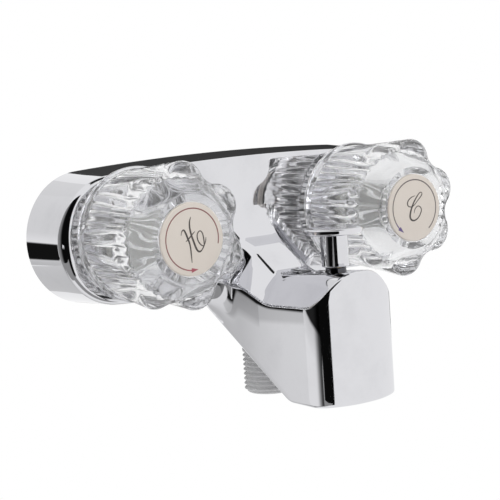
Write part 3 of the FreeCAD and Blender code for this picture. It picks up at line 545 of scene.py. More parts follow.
def spout_section(middle, rim, inset):
    """Points down one side of the spout, from its top middle to its underside middle."""
    deck_columns, facet_columns, edge_columns, wall_columns, floor_columns = 7, 13, 6, 14, 8
    (_, middle_reach), (rim_x, rim_reach) = middle, rim
    flared = rim_reach < plate_depth + spout_root_radius
    tucked = min(max(rim_reach, plate_depth - inset), spout_reach)
    shoulder_z = shoulder_height(tucked)
    wide = soft_min(rim_x, skirt_width(shoulder_z, inset), skirt_blend) if flared else rim_x
    rim = Vector((max(wide, 0.0), rim_reach))
    middle = Vector((0, middle_reach))
    length = (rim - middle).length
    way = (rim - middle) / length
    turn = clamped((rim_reach - nose_start_reach) / nose_turn)
    edge = max(blend(side_edge_radius, nose_edge_radius, turn) - inset, least_edge_radius)

    def top(distance):
        place = middle + way * distance
        reach = place.y if rim_reach > plate_depth else max(place.y, plate_depth - inset)
        return top_height(place.x, reach, inset)

    def at(distance, z):
        place = middle + way * distance
        return (place.x, -place.y, z)

    probe = edge / 3
    tilt = math.atan2(top(length - edge - probe) - top(length - edge + probe), 2 * probe)
    edge_start = length - edge + edge * math.sin(tilt)
    centre_z = top(edge_start) - edge * math.cos(tilt)
    share = root_flare(tucked) / spout_root_radius
    deck_half = blend(deck_half_width, root_deck_half_width, share)
    deck_end = min(deck_half / way.x if way.x > 1e-6 else edge_start, edge_start)
    distances = [deck_end * step / deck_columns for step in range(deck_columns)]
    for step in range(facet_columns):
        distances.append(blend(deck_end, edge_start, step / facet_columns))
    points = [at(distance, top(distance)) for distance in distances]
    for step in range(edge_columns + 1):
        angle = blend(math.pi / 2 - tilt, 0, step / edge_columns)
        points.append(at(length - edge + edge * math.cos(angle), centre_z + edge * math.sin(angle)))
    low = max(bottom_edge_radius - inset, least_edge_radius)
    wall_end = underside_height(rim_reach, inset) + low
    # The flare dies away from the shoulder down to the bottom edge, which runs straight.
    drawn_in = rim.x - (spout_half_width - inset) if flared else 0
    for step in range(1, wall_columns + 1):
        share = step / wall_columns
        points.append(at(length - drawn_in * share, blend(centre_z, wall_end, share)))
    bottom = length - drawn_in
    for step in range(1, edge_columns + 1):
        angle = -math.pi / 2 * step / edge_columns
        points.append(at(bottom - low + low * math.cos(angle), wall_end + low * math.sin(angle)))
    for step in range(1, floor_columns + 1):
        place = middle + way * ((bottom - low) * (1 - step / floor_columns))
        points.append((place.x, -place.y, underside_height(place.y, inset)))
    return points


def spout_solid(inset):
    """Closed solid of the spout, reaching back into the plate."""
    rows = [spout_section(middle, rim, inset) for middle, rim in spout_spokes(inset)]
    return closed_form("spout_form", rows, (True, False, False))


def mouth_tool():
    """Block with rounded corners that opens the bottom of the spout."""
    past = 3
    piece = brick(-mouth_half_width, mouth_half_width, -mouth_front_reach, -mouth_rear_reach,
                  spout_bottom_z - past, spout_bottom_z + shell_wall + past)
    edit_all(piece)
    mesh = bmesh.from_edit_mesh(piece.data)
    for edge in mesh.edges:
        edge.select = abs(edge.verts[0].co.z - edge.verts[1].co.z) > MM
    bpy.ops.mesh.bevel(offset=mouth_corner_radius * MM, segments=7)
    bpy.ops.object.mode_set(mode="OBJECT")
    return piece


def plate_ribs():
    """Short ribs inside the plate's rim."""
    front, rear = -plate_depth + shell_wall / 2, -gasket_thickness
    half = rib_thickness / 2
    ribs = []
    for step in range(rib_count):
        x = (step - (rib_count - 1) / 2) * rib_pitch
        drop = plate_crown_radius - math.sqrt(plate_crown_radius ** 2 - x ** 2)
        outer = plate_half_height - (shell_wall + plate_draft) / 2 - drop
        inner = plate_half_height - shell_wall - rib_depth - drop
        heights = [(inner - plate_drop, outer - plate_drop)]
        if abs(x) > spout_half_width + spout_root_radius + rib_thickness:
            heights.append((-outer - plate_drop, -inner - plate_drop))
        ribs += [brick(x - half, x + half, front, rear, *ends) for ends in heights]
    inner = plate_half_length - shell_wall - rib_depth
    outer = plate_half_length - (shell_wall + plate_draft) / 2
    for side in (-1, 1):
        ribs.append(brick(side * inner, side * outer, front, rear,
                          -plate_drop - half, half - plate_drop))
    return ribs


def keep_flats_flat(piece, large=25.0):
    """Mark the rim of each large flat face sharp where its neighbour leans away."""
    mesh = bmesh.new()
    mesh.from_mesh(piece.data)
    for edge in mesh.edges:
        if len(edge.link_faces) != 2:
            continue
        leans = edge.calc_face_angle(0) > math.radians(0.6)
        if leans and max(face.calc_area() for face in edge.link_faces) > large * MM * MM:
            edge.smooth = False
    mesh.to_mesh(piece.data)
    mesh.free()


def chrome_shell():
    """Plated cover: wall plate and spout in one hollow moulding."""
    past = 2
    shell = plate_outside()
    combine(shell, spout_solid(0.0), "UNION")
    hollow = plate_inside()
    combine(hollow, spout_solid(shell_wall), "UNION")
    combine(shell, hollow)
    combine(shell, mouth_tool())
    for x in valve_x.values():
        combine(shell, cylinder(valve_hole_radius, (x, -plate_depth - past, 0),
                                (x, -plate_depth + shell_wall + past, 0)))
    for radius, reach, low, high in ((rod_hole_radius, diverter_reach, -25, -12),
                                     (outlet_hole_radius, outlet_reach, -50, -34)):
        combine(shell, cylinder(radius, (0, -reach, low), (0, -reach, high)))
    tidy(shell)
    smooth(shell, 30.0)
    keep_flats_flat(shell)
    return join([shell] + plate_ribs(), "chrome_cover")


# Pipe thread of half an inch, 14 turns to the inch
thread_pitch = 1.814
thread_depth = 1.05
thread_flat = 0.12
thread_steps = 9
pipe_radius = 10.5
clamp_thread_radius = 10.9


def thread(crest, low, high, chamfer_at_low=0.0, chamfer_at_high=0.0):
    """Radius function of a helical thread that runs out at each end without a chamfer."""
    def radius(height, angle):
        share = (height / thread_pitch - angle / TAU) % 1.0
        valley = clamped((abs(2 * share - 1) - thread_flat) / (1 - 2 * thread_flat))
        fade = min((height - low) / thread_pitch, (high - height) / thread_pitch, 1.0)
        fade = 1.0 if chamfer_at_low and height < (low + high) / 2 else max(fade, 0.0)
        fade = 1.0 if chamfer_at_high and height > (low + high) / 2 else max(fade, 0.0)
        here = crest - thread_depth * valley * fade
        if chamfer_at_low:
            here = min(here, crest - chamfer_at_low + height - low)
        if chamfer_at_high:
            here = min(here, crest - chamfer_at_high + high - height)
        return here
    return radius


def thread_rings(crest, low, high, **chamfers):
    """Rings close enough together to show each turn of a thread."""
    count = round((high - low) / thread_pitch * thread_steps)
    form = thread(crest, low, high, **chamfers)
    return [(blend(low, high, step / count), form) for step in range(count + 1)]


# Clear knobs
knob_lobes = 7
knob_rear = 27.2
knob_ring_radius = 25.0
knob_skirt_radius = 24.0
knob_skirt_start = 28.9
knob_crest_radius = 27.4
knob_valley_radius = 23.0
knob_nose_radius = 8.0
knob_full_lobe = 57.0
knob_edge_start = 55.6
knob_edge_radius = 2.3
knob_edge_turn = math.radians(68.0)
knob_face_bow = 0.92
knob_boss_radius = 16.7
knob_boss = 63.4
knob_rim = 64.2
knob_rim_radius = 15.9
knob_mouth_radius = 21.5
knob_mouth_depth = 1.8
knob_cavity_radius = 20.2
knob_cavity_floor = 54.4
knob_flutes = 42
knob_flute_depth = 0.9
knob_hub_radius = 8.0
knob_hub_rear = 37.0
knob_angles = {"hot": 29.2, "cold": 16.9}
broach_teeth = 12
broach_radius = 4.25
broach_root_radius = 3.65
button_radius = 12.9
button_recess_radius = 13.0
button_seat = 61.7
button_height = 3.0
screw_well_radius = 4.6
screw_seat = 57.0
screw_hole_radius = 2.05
stem_tip = 54.9


def lobe_form():
    """Radius of the seven-lobed outline at an angle: crest arcs that touch hollow arcs."""
    half = math.pi / knob_lobes
    crest = knob_crest_radius - knob_nose_radius
    cosine = math.cos(half)
    top = crest ** 2 + knob_valley_radius ** 2 - 2 * crest * knob_valley_radius * cosine
    bulge = knob_nose_radius - knob_valley_radius + crest * cosine
    hollow = (top - knob_nose_radius ** 2) / (2 * bulge)
    centre = knob_valley_radius + hollow
    share = knob_nose_radius / (knob_nose_radius + hollow)
    meet = math.atan2(share * centre * math.sin(half), crest + share * (centre * cosine - crest))

    def radius(angle):
        off = abs((angle + half) % (2 * half) - half)
        if off <= meet:
            across = crest * math.sin(off)
            return crest * math.cos(off) + math.sqrt(knob_nose_radius ** 2 - across ** 2)
        off = half - off
        return centre * math.cos(off) - math.sqrt(hollow ** 2 - (centre * math.sin(off)) ** 2)
    return radius


def clear_knob(side, x):
    """Clear knob with lobed skirt, fluted hollow, hub, toothed bore and button recess."""
    skirt_steps, edge_steps, face_steps = 12, 7, 12
    turn = math.radians(knob_angles[side])
    outline = lobe_form()

    def lobed(share, inset):
        return lambda height, angle: blend(knob_skirt_radius - inset,
                                           outline(angle - turn) - inset, share)

    def fluted(share, inset):
        def radius(height, angle):
            scallop = abs(math.sin((angle - turn) * knob_flutes / 2))
            return knob_cavity_radius - inset + knob_flute_depth * scallop * share
        return radius

    def toothed(height, angle):
        wave = 0.5 + 0.5 * math.cos(broach_teeth * angle)
        return blend(broach_root_radius, broach_radius, wave)

    rings = softened([
        (knob_rear, knob_mouth_radius), (knob_rear, knob_ring_radius),
        (knob_skirt_start - 0.2, knob_ring_radius), (knob_skirt_start, knob_skirt_radius),
    ], (0.5, 0.5), 4)
    lobe_run = knob_full_lobe - knob_skirt_start
    for step in range(1, skirt_steps + 1):
        height = blend(knob_skirt_start, knob_edge_start, step / skirt_steps)
        rings.append((height, lobed((height - knob_skirt_start) / lobe_run, 0.0)))
    edge_share = (knob_edge_start - knob_skirt_start) / lobe_run
    for step in range(1, edge_steps + 1):
        angle = knob_edge_turn * step / edge_steps
        rings.append((knob_edge_start + knob_edge_radius * math.sin(angle),
                      lobed(edge_share, knob_edge_radius * (1 - math.cos(angle)))))
    face_start = rings[-1][0]
    rim = lobed(edge_share, knob_edge_radius * (1 - math.cos(knob_edge_turn)))
    for step in range(1, face_steps + 1):
        share = step / face_steps
        rings.append((blend(face_start, knob_boss, share ** knob_face_bow),
                      lambda h, a, share=share: blend(rim(h, a), knob_boss_radius, share)))
    rings += softened([
        (knob_boss, knob_boss_radius), (knob_rim, knob_rim_radius),
        (knob_rim, button_recess_radius), (button_seat, button_recess_radius),
        (button_seat, screw_well_radius), (screw_seat, screw_well_radius),
        (screw_seat, screw_hole_radius), (stem_tip, screw_hole_radius),
    ], (0.5, 0.3, 0.3, 0.3, 0.3, 0), 3)[1:]
    rings += [(stem_tip, toothed), (knob_hub_rear, toothed)]
    rings += softened([
        (knob_hub_rear, broach_radius + 0.2), (knob_hub_rear, knob_hub_radius),
        (knob_cavity_floor, knob_hub_radius), (knob_cavity_floor, knob_cavity_radius - 1.0),
    ], (0.4, 1.2), 4)
    mouth = knob_rear + knob_mouth_depth
    rings += [(height, fluted(share, inset)) for height, share, inset in (
        (knob_cavity_floor, 0.6, 0.8), (knob_cavity_floor - 0.3, 0.9, 0.25),
        (knob_cavity_floor - 1.0, 1.0, 0.0), (blend(knob_cavity_floor, knob_rear, 0.5), 1.0, 0.0),
        (mouth, 1.0, 0.0))]
    rings.append((mouth, knob_mouth_radius))
    return ringed(side + "_clear_knob", rings, (x, 0, 0), TO_ROOM, knob_flutes * 8, closed=True)


def index_button(side, x):
    """Disc that hides the handle screw."""
    front = button_seat + button_height
    profile = softened([
        (button_seat, 0), (button_seat, button_radius), (front, button_radius), (front, 0),
    ], (0.2, 0.5), 5)
    return turned(side + "_index_disc", profile, (x, 0, 0), TO_ROOM, 128)


# Printed marks on the index buttons: angles run anticlockwise from the right
print_lift = 0.03
print_y = -(button_seat + button_height) - print_lift
print_columns = (-1, -0.33, 0.33, 1)
stroke_lift = 0.002
arrow_radius = 10.8
arrow_half_width = 0.21
arrow_head_length = 0.26
arrow_head_half_width = 0.85
arrow_angles = {"hot": (-14.0, 278.5), "cold": (-52.0, 236.0)}

# Pen strokes of a slanting H and C: distance right, distance up and half width at each point
letter_strokes = {
    "hot": (
        ((-4.5, 1.8, 0.10), (-4.1, 3.1, 0.18), (-3.3, 3.6, 0.26), (-2.6, 2.5, 0.33),
         (-1.9, 0.6, 0.36), (-1.3, -1.1, 0.30), (-1.0, -2.9, 0.27), (-0.9, -5.0, 0.25),
         (-0.8, -8.1, 0.12)),
        ((0.0, 7.8, 0.12), (-0.6, 6.5, 0.24), (-0.8, 4.8, 0.30), (-0.6, 2.9, 0.33),
         (-0.2, 1.1, 0.34), (0.4, -0.7, 0.36), (1.0, -2.5, 0.36), (1.7, -4.0, 0.34),
         (2.6, -4.6, 0.30), (3.6, -4.1, 0.22), (4.6, -2.7, 0.20), (5.4, -1.1, 0.17),
         (5.6, 0.1, 0.10)),
        ((-2.7, -0.5, 0.12), (-1.4, 0.4, 0.22), (-0.2, 1.5, 0.22), (1.2, 2.6, 0.10)),
        ((4.8, -2.7, 0.12), (3.8, -2.6, 0.20), (2.7, -1.5, 0.23), (2.1, -0.1, 0.23),
         (2.1, 1.4, 0.21), (2.8, 2.4, 0.18), (3.6, 2.5, 0.18), (4.3, 1.6, 0.21),
         (4.6, 0.1, 0.24), (4.7, -1.3, 0.22), (4.6, -2.6, 0.10)),
    ),
    "cold": (
        ((0.6, 4.6, 0.08), (-1.2, 4.2, 0.18), (-2.7, 3.3, 0.23), (-3.4, 2.1, 0.25),
         (-3.1, 1.0, 0.23), (-1.7, 0.5, 0.19), (-0.2, 1.0, 0.17), (1.5, 2.4, 0.17),
         (3.4, 4.0, 0.20), (4.1, 4.9, 0.19), (3.8, 5.6, 0.16), (2.8, 5.4, 0.18),
         (1.4, 4.1, 0.24), (-0.1, 2.3, 0.29), (-1.1, 0.7, 0.32), (-1.9, -0.9, 0.37),
         (-2.4, -2.6, 0.40), (-2.3, -3.9, 0.38), (-1.4, -4.7, 0.33), (-0.1, -4.8, 0.27),
         (1.6, -4.0, 0.23), (2.9, -2.4, 0.23), (3.4, -1.0, 0.22), (2.8, 0.1, 0.19),
         (1.7, 0.5, 0.17), (0.6, -0.1, 0.17), (-0.1, -1.1, 0.15), (-0.3, -2.1, 0.08)),
    ),
}


def thicken_print(piece):
    """Give a flat mark the thickness of its ink, towards the button."""
    edit_all(piece)
    face_outwards()
    if piece.data.polygons[0].normal.y > 0:
        piece.data.flip_normals()
    modifier = piece.modifiers.new("ink", "SOLIDIFY")
    modifier.thickness = 2 * print_lift * MM
    modifier.offset = -1
    apply_modifiers(piece)
    return piece


def printed_arrow(side, x):
    """Thin arc with an arrowhead, printed round the index button."""
    steps = 90
    tip_half_width = 0.02
    first, last = (math.radians(angle) for angle in arrow_angles[side])
    neck = last - arrow_head_length
    places = [(blend(first, neck, step / steps), arrow_half_width) for step in range(steps + 1)]
    places += [(neck, arrow_head_half_width), (last, tip_half_width)]
    rows = [[(x + (arrow_radius + width * across) * math.cos(angle), print_y,
              (arrow_radius + width * across) * math.sin(angle)) for across in print_columns]
            for angle, width in places]
    return thicken_print(draped_grid(side + "_turn_arrow", rows))


def curve_through(points, steps=6):
    """Smooth run through points, each span bent by its neighbours."""
    ends = [points[0]] + list(points) + [points[-1]]
    run = []
    for before, start, end, after in zip(ends, ends[1:], ends[2:], ends[3:]):
        for step in range(steps):
            t = step / steps
            run.append([0.5 * (2 * b + (c - a) * t + (2 * a - 5 * b + 4 * c - d) * t ** 2
                               + (3 * b - a - 3 * c + d) * t ** 3)
                        for a, b, c, d in zip(before, start, end, after)])
    return run + [list(points[-1])]


def printed_letter(side, x):
    """Slanting pen-drawn capital in the middle of the index button."""
    strokes = []
    for count, points in enumerate(letter_strokes[side]):
        run = curve_through(points)
        y = print_y - stroke_lift * count
        rows = []
        for place, (right, up, half) in enumerate(run):
            back, on = run[max(place - 1, 0)], run[min(place + 1, len(run) - 1)]
            way = Vector((on[0] - back[0], on[1] - back[1])).normalized() * half
            rows.append([(x + right - way.y * across, y, up + way.x * across)
                         for across in print_columns])
        strokes.append(thicken_print(draped_grid(side + "_stroke", rows)))
    return join(strokes, side + "_letter")


def lift_knob():
    """Post and thin disc that lift the diverter."""
    low, neck, top, crown = -15.0, -3.2, -1.0, 0.25
    socket_end, socket_radius = -5.2, 2.0
    post_radius, disc_radius = 5.0, 10.5
    profile = softened([
        (socket_end, 0), (socket_end, socket_radius), (low, socket_radius), (low, post_radius),
        (neck, post_radius), (neck, disc_radius), (top, disc_radius), (top + crown, 0),
    ], (0, 0, 0.5, 0.6, 0.8, 0.8), 5)
    return turned("lift_button", profile, (0, -diverter_reach, 0), UP, 128)


def rod_bush():
    """Plated bush that the lift rod comes out of, with its nut inside."""
    top, bore, seal_radius, nut_radius = -15.3, 2.05, 3.85, 4.6
    nut_height, seal_height = 3.0, 2.0
    seat = deck_height(diverter_reach - nut_radius) - shell_wall / math.cos(deck_rise)
    low = seat - nut_height
    seal_top = low + seal_height
    profile = softened([
        (seal_top, bore), (top, bore), (top, rod_hole_radius), (seat, rod_hole_radius),
        (seat, nut_radius), (low, nut_radius), (low, seal_radius), (seal_top, seal_radius),
        (seal_top, bore),
    ], (0.15, 0.4, 0, 0.2, 0.2, 0.1, 0), 4)
    return turned("lift_bush", profile, (0, -diverter_reach, 0), UP)


def shower_outlet():
    """Threaded outlet under the spout, its top cut to the slope of the underside."""
    low, thread_top, ledge, top = -66.0, -49.5, -47.0, -32.0
    bore, socket_radius, neck_radius, lead_in = 7.0, 7.4, 10.1, 0.6
    near, far, gap = 20, 40, 1.0
    rings = [(low, bore + lead_in), (low + lead_in, bore), (ledge, bore), (ledge, socket_radius),
             (top, socket_radius), (top, neck_radius), (thread_top, neck_radius)]
    rings += thread_rings(pipe_radius, low, thread_top, chamfer_at_low=1.4)[::-1]
    piece = ringed("shower_thread", rings, (0, -outlet_reach, 0), UP, 96, closed=True)
    slope = math.atan((underside_height(near) - underside_height(far)) / (far - near))
    middle = underside_height(outlet_reach, shell_wall + gap)
    block = brick(-20, 20, -30, 30, 0, 40)
    place = Matrix.Translation(Vector((0, -outlet_reach, middle)) * MM)
    block.data.transform(place @ Matrix.Rotation(slope, 4, "X"))
    combine(piece, block)
    tidy(piece)
    smooth(piece)
    return piece


def valve_body(side, x):
    """Moulded valve: threaded shank behind the wall, collar and barrel in front."""
    shank_end, bore, bore_end, lead_in = 30.0, 7.0, 4.0, 0.4
    collar_radius, body_radius, barrel_radius, barrel_bore = 12.5, 15.0, 12.4, 9.2
    collar_rear, body_rear, body_front, barrel_front, barrel_floor = 3.0, 6.0, 23.4, 28.2, 10.0
    threads = thread_rings(pipe_radius, 13.0, shank_end, chamfer_at_high=1.0)[::-1]
    threads += thread_rings(clamp_thread_radius, -2.4, 12.0)[::-1]
    rings = [(bore_end, 0), (bore_end, bore), (lead_in - shank_end, bore),
             (-shank_end, bore + lead_in)]
    rings += [(-height, lambda h, a, form=form: form(-h, a)) for height, form in threads]
    rings += softened([
        (collar_rear, clamp_thread_radius), (collar_rear, collar_radius),
        (body_rear, collar_radius), (body_rear, body_radius),
        (body_front, body_radius), (body_front, barrel_radius), (barrel_front, barrel_radius),
        (barrel_front, barrel_bore), (barrel_floor, barrel_bore), (barrel_floor, 0),
    ], (0, 0.3, 0.3, 0.5, 0, 0, 0.3, 0.3, 0.3), 3)
    return ringed(side + "_shank", rings, (x, 0, 0), TO_ROOM, 96)


class Field:
    """A value at each point of a surface, so that shader maths reads as plain sums."""

    def __init__(self, nodes, socket):
        self.nodes = nodes
        self.socket = socket

    def maths(self, operation, *others):
        return self.nodes.node("ShaderNodeMath", {"operation": operation}, self, *others)

    def __add__(self, other):
        return self.maths("ADD", other)

    def __sub__(self, other):
        return self.maths("SUBTRACT", other)

    def __rsub__(self, other):
        return self.nodes.node("ShaderNodeMath", {"operation": "SUBTRACT"}, other, self)

    def __mul__(self, other):
        return self.maths("MULTIPLY", other)

    __radd__ = __add__
    __rmul__ = __mul__

    def step(self, low, high):
        """0 below low, 1 above high, smooth between."""
        return self.nodes.node("ShaderNodeMapRange", {"interpolation_type": "SMOOTHSTEP"},
                               Value=self, From_Min=low, From_Max=high)


class Nodes:
    """Node tree of a material or of the world."""

    def __init__(self, owner, output):
        owner.use_nodes = True
        self.tree = owner.node_tree
        self.tree.nodes.clear()
        self.surface = self.tree.nodes.new(output).inputs["Surface"]

    def fill(self, socket, value):
        """Link a field to a socket, or write a plain value on it."""
        if isinstance(value, Field):
            self.tree.links.new(value.socket, socket)
        elif isinstance(value, tuple) and len(value) == 3 and socket.type == "RGBA":
            socket.default_value = (*value, 1.0)
        else:
            socket.default_value = value

    def node(self, kind, settings, *values, output=None, **named_values):
        """Any node: its settings first, then the values or links of its sockets in use."""
        node = self.tree.nodes.new(kind)
        for name, value in settings.items():
            if name == "stops":
                ramp = node.color_ramp.elements
                while len(ramp) < len(value):
                    ramp.new(0.5)
                for element, (position, colour) in zip(ramp, value):
                    element.position = position
                    element.color = (*colour, 1.0)
            else:
                setattr(node, name, value)
        in_use = [socket for socket in node.inputs if socket.enabled]
        for socket, value in zip(in_use, values):
            self.fill(socket, value)
        for name, value in named_values.items():
            self.fill(node.inputs[name.replace("_", " ")], value)
        results = [socket for socket in node.outputs
                   if socket.enabled and output in (None, socket.name)]
        return Field(self, results[0])

    def show(self, lit, seen):
        """One shader for what gets diffuse light, another for the camera, metal and glass."""
        direct = self.node("ShaderNodeLightPath", {}, output="Is Camera Ray")
        for ray in ("Is Glossy Ray", "Is Transmission Ray"):
            direct = direct.maths("MAXIMUM", self.node("ShaderNodeLightPath", {}, output=ray))
        self.fill(self.surface, self.node("ShaderNodeMixShader", {}, direct, lit, seen))


class Paint(Nodes):
    """Material with one shader, and the patterns that vary it."""

    def __init__(self, name, **fixed):
        self.material = bpy.data.materials.new(name)
        super().__init__(self.material, "ShaderNodeOutputMaterial")
        self.shader = self.tree.nodes.new("ShaderNodeBsdfPrincipled")
        self.plain = Field(self, self.shader.outputs[0])
        self.fill(self.surface, self.plain)
        self.set(**fixed)
        self.place = self.node("ShaderNodeTexCoord", {}, output="Object")

    def set(self, **values):
        """Set or link the shader's own sockets."""
        for name, value in values.items():
            self.fill(self.shader.inputs[name.replace("_", " ")], value)

    def noise(self, size, detail=2.0, roughness=0.5, stretch=None, distortion=0.0):
        """Cloudy pattern whose blotches are about size millimetres across."""
        place = self.place
        if stretch:
            place = self.node("ShaderNodeMapping", {}, Vector=place, Scale=stretch)
        return self.node("ShaderNodeTexNoise", {}, Vector=place, Scale=1.0 / MM / size,
                         Detail=detail, Roughness=roughness, Distortion=distortion)

    def mix(self, share, one, other):
        """Colour between two others."""
        return self.node("ShaderNodeMix", {"data_type": "RGBA"}, share, one, other)

    def bump(self, height, depth, strength=1.0):
        """Raise the surface by a height pattern, depth in millimetres."""
        self.set(Normal=self.node("ShaderNodeBump", {}, Height=height, Distance=depth * MM,
                                  Strength=strength))

    def along(self, axis):
        """Place along one axis, in metres."""
        return self.node("ShaderNodeSeparateXYZ", {}, self.place, output=axis)

    def round_valve(self, x):
        """Distance in millimetres from the axis of the valve at x, and the angle round it."""
        dx = self.along("X") * (1.0 / MM) - x
        dz = self.along("Z") * (1.0 / MM)
        return (dx * dx + dz * dz).maths("SQRT"), dz.maths("ARCTAN2", dx)


def chrome_finish(name, pale, dark):
    """Bright plating over a moulding: faint waves, and a film of fingerprints in the gloss."""
    paint = Paint(name, Metallic=1.0, IOR=1.45)
    film = paint.noise(16.0, 4.0, 0.6).step(0.45, 0.75)
    fine = paint.noise(1.2)
    paint.set(Base_Color=paint.mix(film, pale, dark),
              Roughness=0.022 + 0.035 * film + 0.012 * fine)
    paint.bump(paint.noise(22.0, 1.0), 0.10, 0.35)
    return paint.material


def acrylic_finish():
    """Clear moulded acrylic with a slightly hazy skin."""
    paint = Paint("clear_acrylic", Transmission_Weight=0.92, IOR=1.38)
    haze = paint.noise(9.0, 3.0, 0.6)
    paint.set(Base_Color=paint.mix(haze, (0.99, 0.99, 0.995), (0.975, 0.98, 0.985)),
              Roughness=0.02 + 0.04 * haze.step(0.4, 0.8))
    paint.bump(paint.noise(5.0, 1.0), 0.03, 0.4)
    return paint.material


def cream_finish():
    """Glossy cream plastic of the index buttons."""
    paint = Paint("index_cream", Coat_Weight=0.25, Coat_Roughness=0.12, Specular_IOR_Level=0.5)
    cloud = paint.noise(7.0, 3.0)
    paint.set(Base_Color=paint.mix(cloud, (0.775, 0.71, 0.645), (0.74, 0.67, 0.60)),
              Roughness=0.26 + 0.12 * cloud)
    paint.bump(paint.noise(0.5), 0.004, 0.5)
    return paint.material


def ink_finish(side, tip_angle, letter, line, tip):
    """Screen-printed ink in three colours: the letter's, the arrow's and its head's."""
    paint = Paint(side + "_ink")
    radius, angle = paint.round_valve(valve_x[side])
    near_end = 1.0 - (angle - math.radians(tip_angle)).maths("ABSOLUTE").step(0.25, 0.6)
    on_arrow = radius.step(arrow_radius - 1.6, arrow_radius - 1.3)
    grain = paint.noise(0.6, 3.0)
    colour = paint.mix(on_arrow, letter, paint.mix(near_end, line, tip))
    paint.set(Base_Color=paint.mix(0.2 * grain, colour, (0.42, 0.36, 0.33)),
              Roughness=0.38 + 0.15 * grain)
    return paint.material


def moulded_finish(name, pale, dark, rough):
    """Plain moulded plastic: soft flow marks, fine sparked grain."""
    paint = Paint(name, Specular_IOR_Level=0.45)
    flow = paint.noise(14.0, 3.0, 0.55, distortion=0.6)
    paint.set(Base_Color=paint.mix(flow, pale, dark), Roughness=rough + 0.14 * flow)
    paint.bump(paint.noise(0.35), 0.02, 0.45)
    return paint.material


def metal_finish(name, pale, dark, rough, along):
    """Turned metal with tool marks along the given stretch of the pattern."""
    paint = Paint(name, Metallic=1.0)
    marks = paint.noise(0.8, 3.0, 0.6, stretch=along)
    tarnish = paint.noise(6.0, 4.0, 0.6).step(0.4, 0.75)
    paint.set(Base_Color=paint.mix(tarnish, pale, dark),
              Roughness=rough + 0.16 * marks + 0.08 * tarnish)
    paint.bump(marks, 0.01, 0.5)
    return paint.material


def rubber_finish(name, colour, worn, cells=0.0):
    """Matt rubber, or foam where it has cells."""
    paint = Paint(name, Specular_IOR_Level=0.3)
    dust = paint.noise(5.0, 4.0, 0.65)
    paint.set(Base_Color=paint.mix(dust.step(0.4, 0.8), colour, worn), Roughness=0.62 + 0.2 * dust)
    if cells:
        paint.bump(paint.noise(cells, 1.0, 0.4), 0.15, 0.8)
    else:
        paint.bump(paint.noise(0.4), 0.01, 0.6)
    return paint.material


chrome = chrome_finish("chrome_plating", (0.72, 0.72, 0.745), (0.68, 0.68, 0.705))
# Near-black copy of the chrome plating: painted shade for the shadowed neck under the lift knob
chrome_painted_shade = chrome_finish("plating_painted_shade", (0.10, 0.10, 0.11), (0.06, 0.06, 0.07))
acrylic = acrylic_finish()
cream = cream_finish()
inks = {
    "hot": ink_finish("hot", -85.0, (0.03, 0.022, 0.02), (0.24, 0.075, 0.075), (0.40, 0.075, 0.11)),
    "cold": ink_finish("cold", -126.0, (0.035, 0.03, 0.028), (0.10, 0.085, 0.09),
                       (0.10, 0.06, 0.24)),
}
grey_acetal = moulded_finish("grey_acetal", (0.64, 0.64, 0.645), (0.58, 0.58, 0.585), 0.36)
finishes = {
    "chrome_plating": chrome,
    "clear_acrylic": acrylic,
    "index_plastic": cream,
    "waterway_plastic": grey_acetal,
    "white_plastic": moulded_finish("white_nylon", (0.82, 0.82, 0.79), (0.74, 0.74, 0.70), 0.42),
    "brass": metal_finish("machined_brass", (0.80, 0.62, 0.33), (0.60, 0.42, 0.20), 0.2,
                          (1.0, 9.0, 1.0)),
    "stainless": metal_finish("stainless_steel", (0.66, 0.66, 0.67), (0.52, 0.52, 0.53), 0.22,
                              (1.0, 8.0, 1.0)),
    "rubber": rubber_finish("nitrile_rubber", (0.018, 0.018, 0.019), (0.04, 0.04, 0.042)),
    "foam": rubber_finish("gasket_foam", (0.05, 0.05, 0.055), (0.09, 0.09, 0.095), 0.9),
}


def finish_nodes():
    """Give each CAD node the finish of its record slot."""
    for part in frame["record"]["subparts"]:
        node = frame["nodes"][part["node"]]
        for place in node.material_slots:
            place.material = finishes[part["material_slot"]]


def dress(piece, body, slot, finish, *nodes):
    """Give a new piece its body and its finish, and hide the nodes it stands for. The slot argument
    is not used.
    """
    piece.data.materials.clear()
    piece.data.materials.append(finish)
    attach(piece, body)
    if nodes:
        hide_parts(*nodes)


finish_nodes()
dress(chrome_shell(), FAUCET, "chrome_plating", chrome, "chrome_shell")
# The bush gets the near-black chrome copy: painted shade in the gap under the lift knob
dress(rod_bush(), FAUCET, "chrome_plating", chrome_painted_shade, "rod_bush")
dress(lift_knob(), "diverter", "chrome_plating", chrome, "lift_knob")
dress(shower_outlet(), FAUCET, "waterway_plastic", grey_acetal, "shower_outlet")
for side, x in valve_x.items():
    control = side + "_control"
    dress(clear_knob(side, x), control, "clear_acrylic", acrylic, side + "_knob")
    dress(index_button(side, x), control, "index_plastic", cream, side + "_index_button")
    dress(printed_arrow(side, x), control, "index_plastic", inks[side])
    dress(printed_letter(side, x), control, "index_plastic", inks[side])
    dress(valve_body(side, x), FAUCET, "waterway_plastic", grey_acetal, side + "_valve_body")


def studio_floor():
    """Plain pale floor well below the faucet, white to the camera, metal and glass."""
    deselect()
    bpy.ops.mesh.primitive_plane_add(size=6.0, location=(0, 0, -0.45))
    floor = bpy.context.object
    floor.name = "studio_floor"
    paint = Paint("floor_paper", Base_Color=(0.86, 0.86, 0.87), Roughness=0.9)
    paint.show(paint.plain, paint.node("ShaderNodeEmission", {}))
    floor.data.materials.append(paint.material)


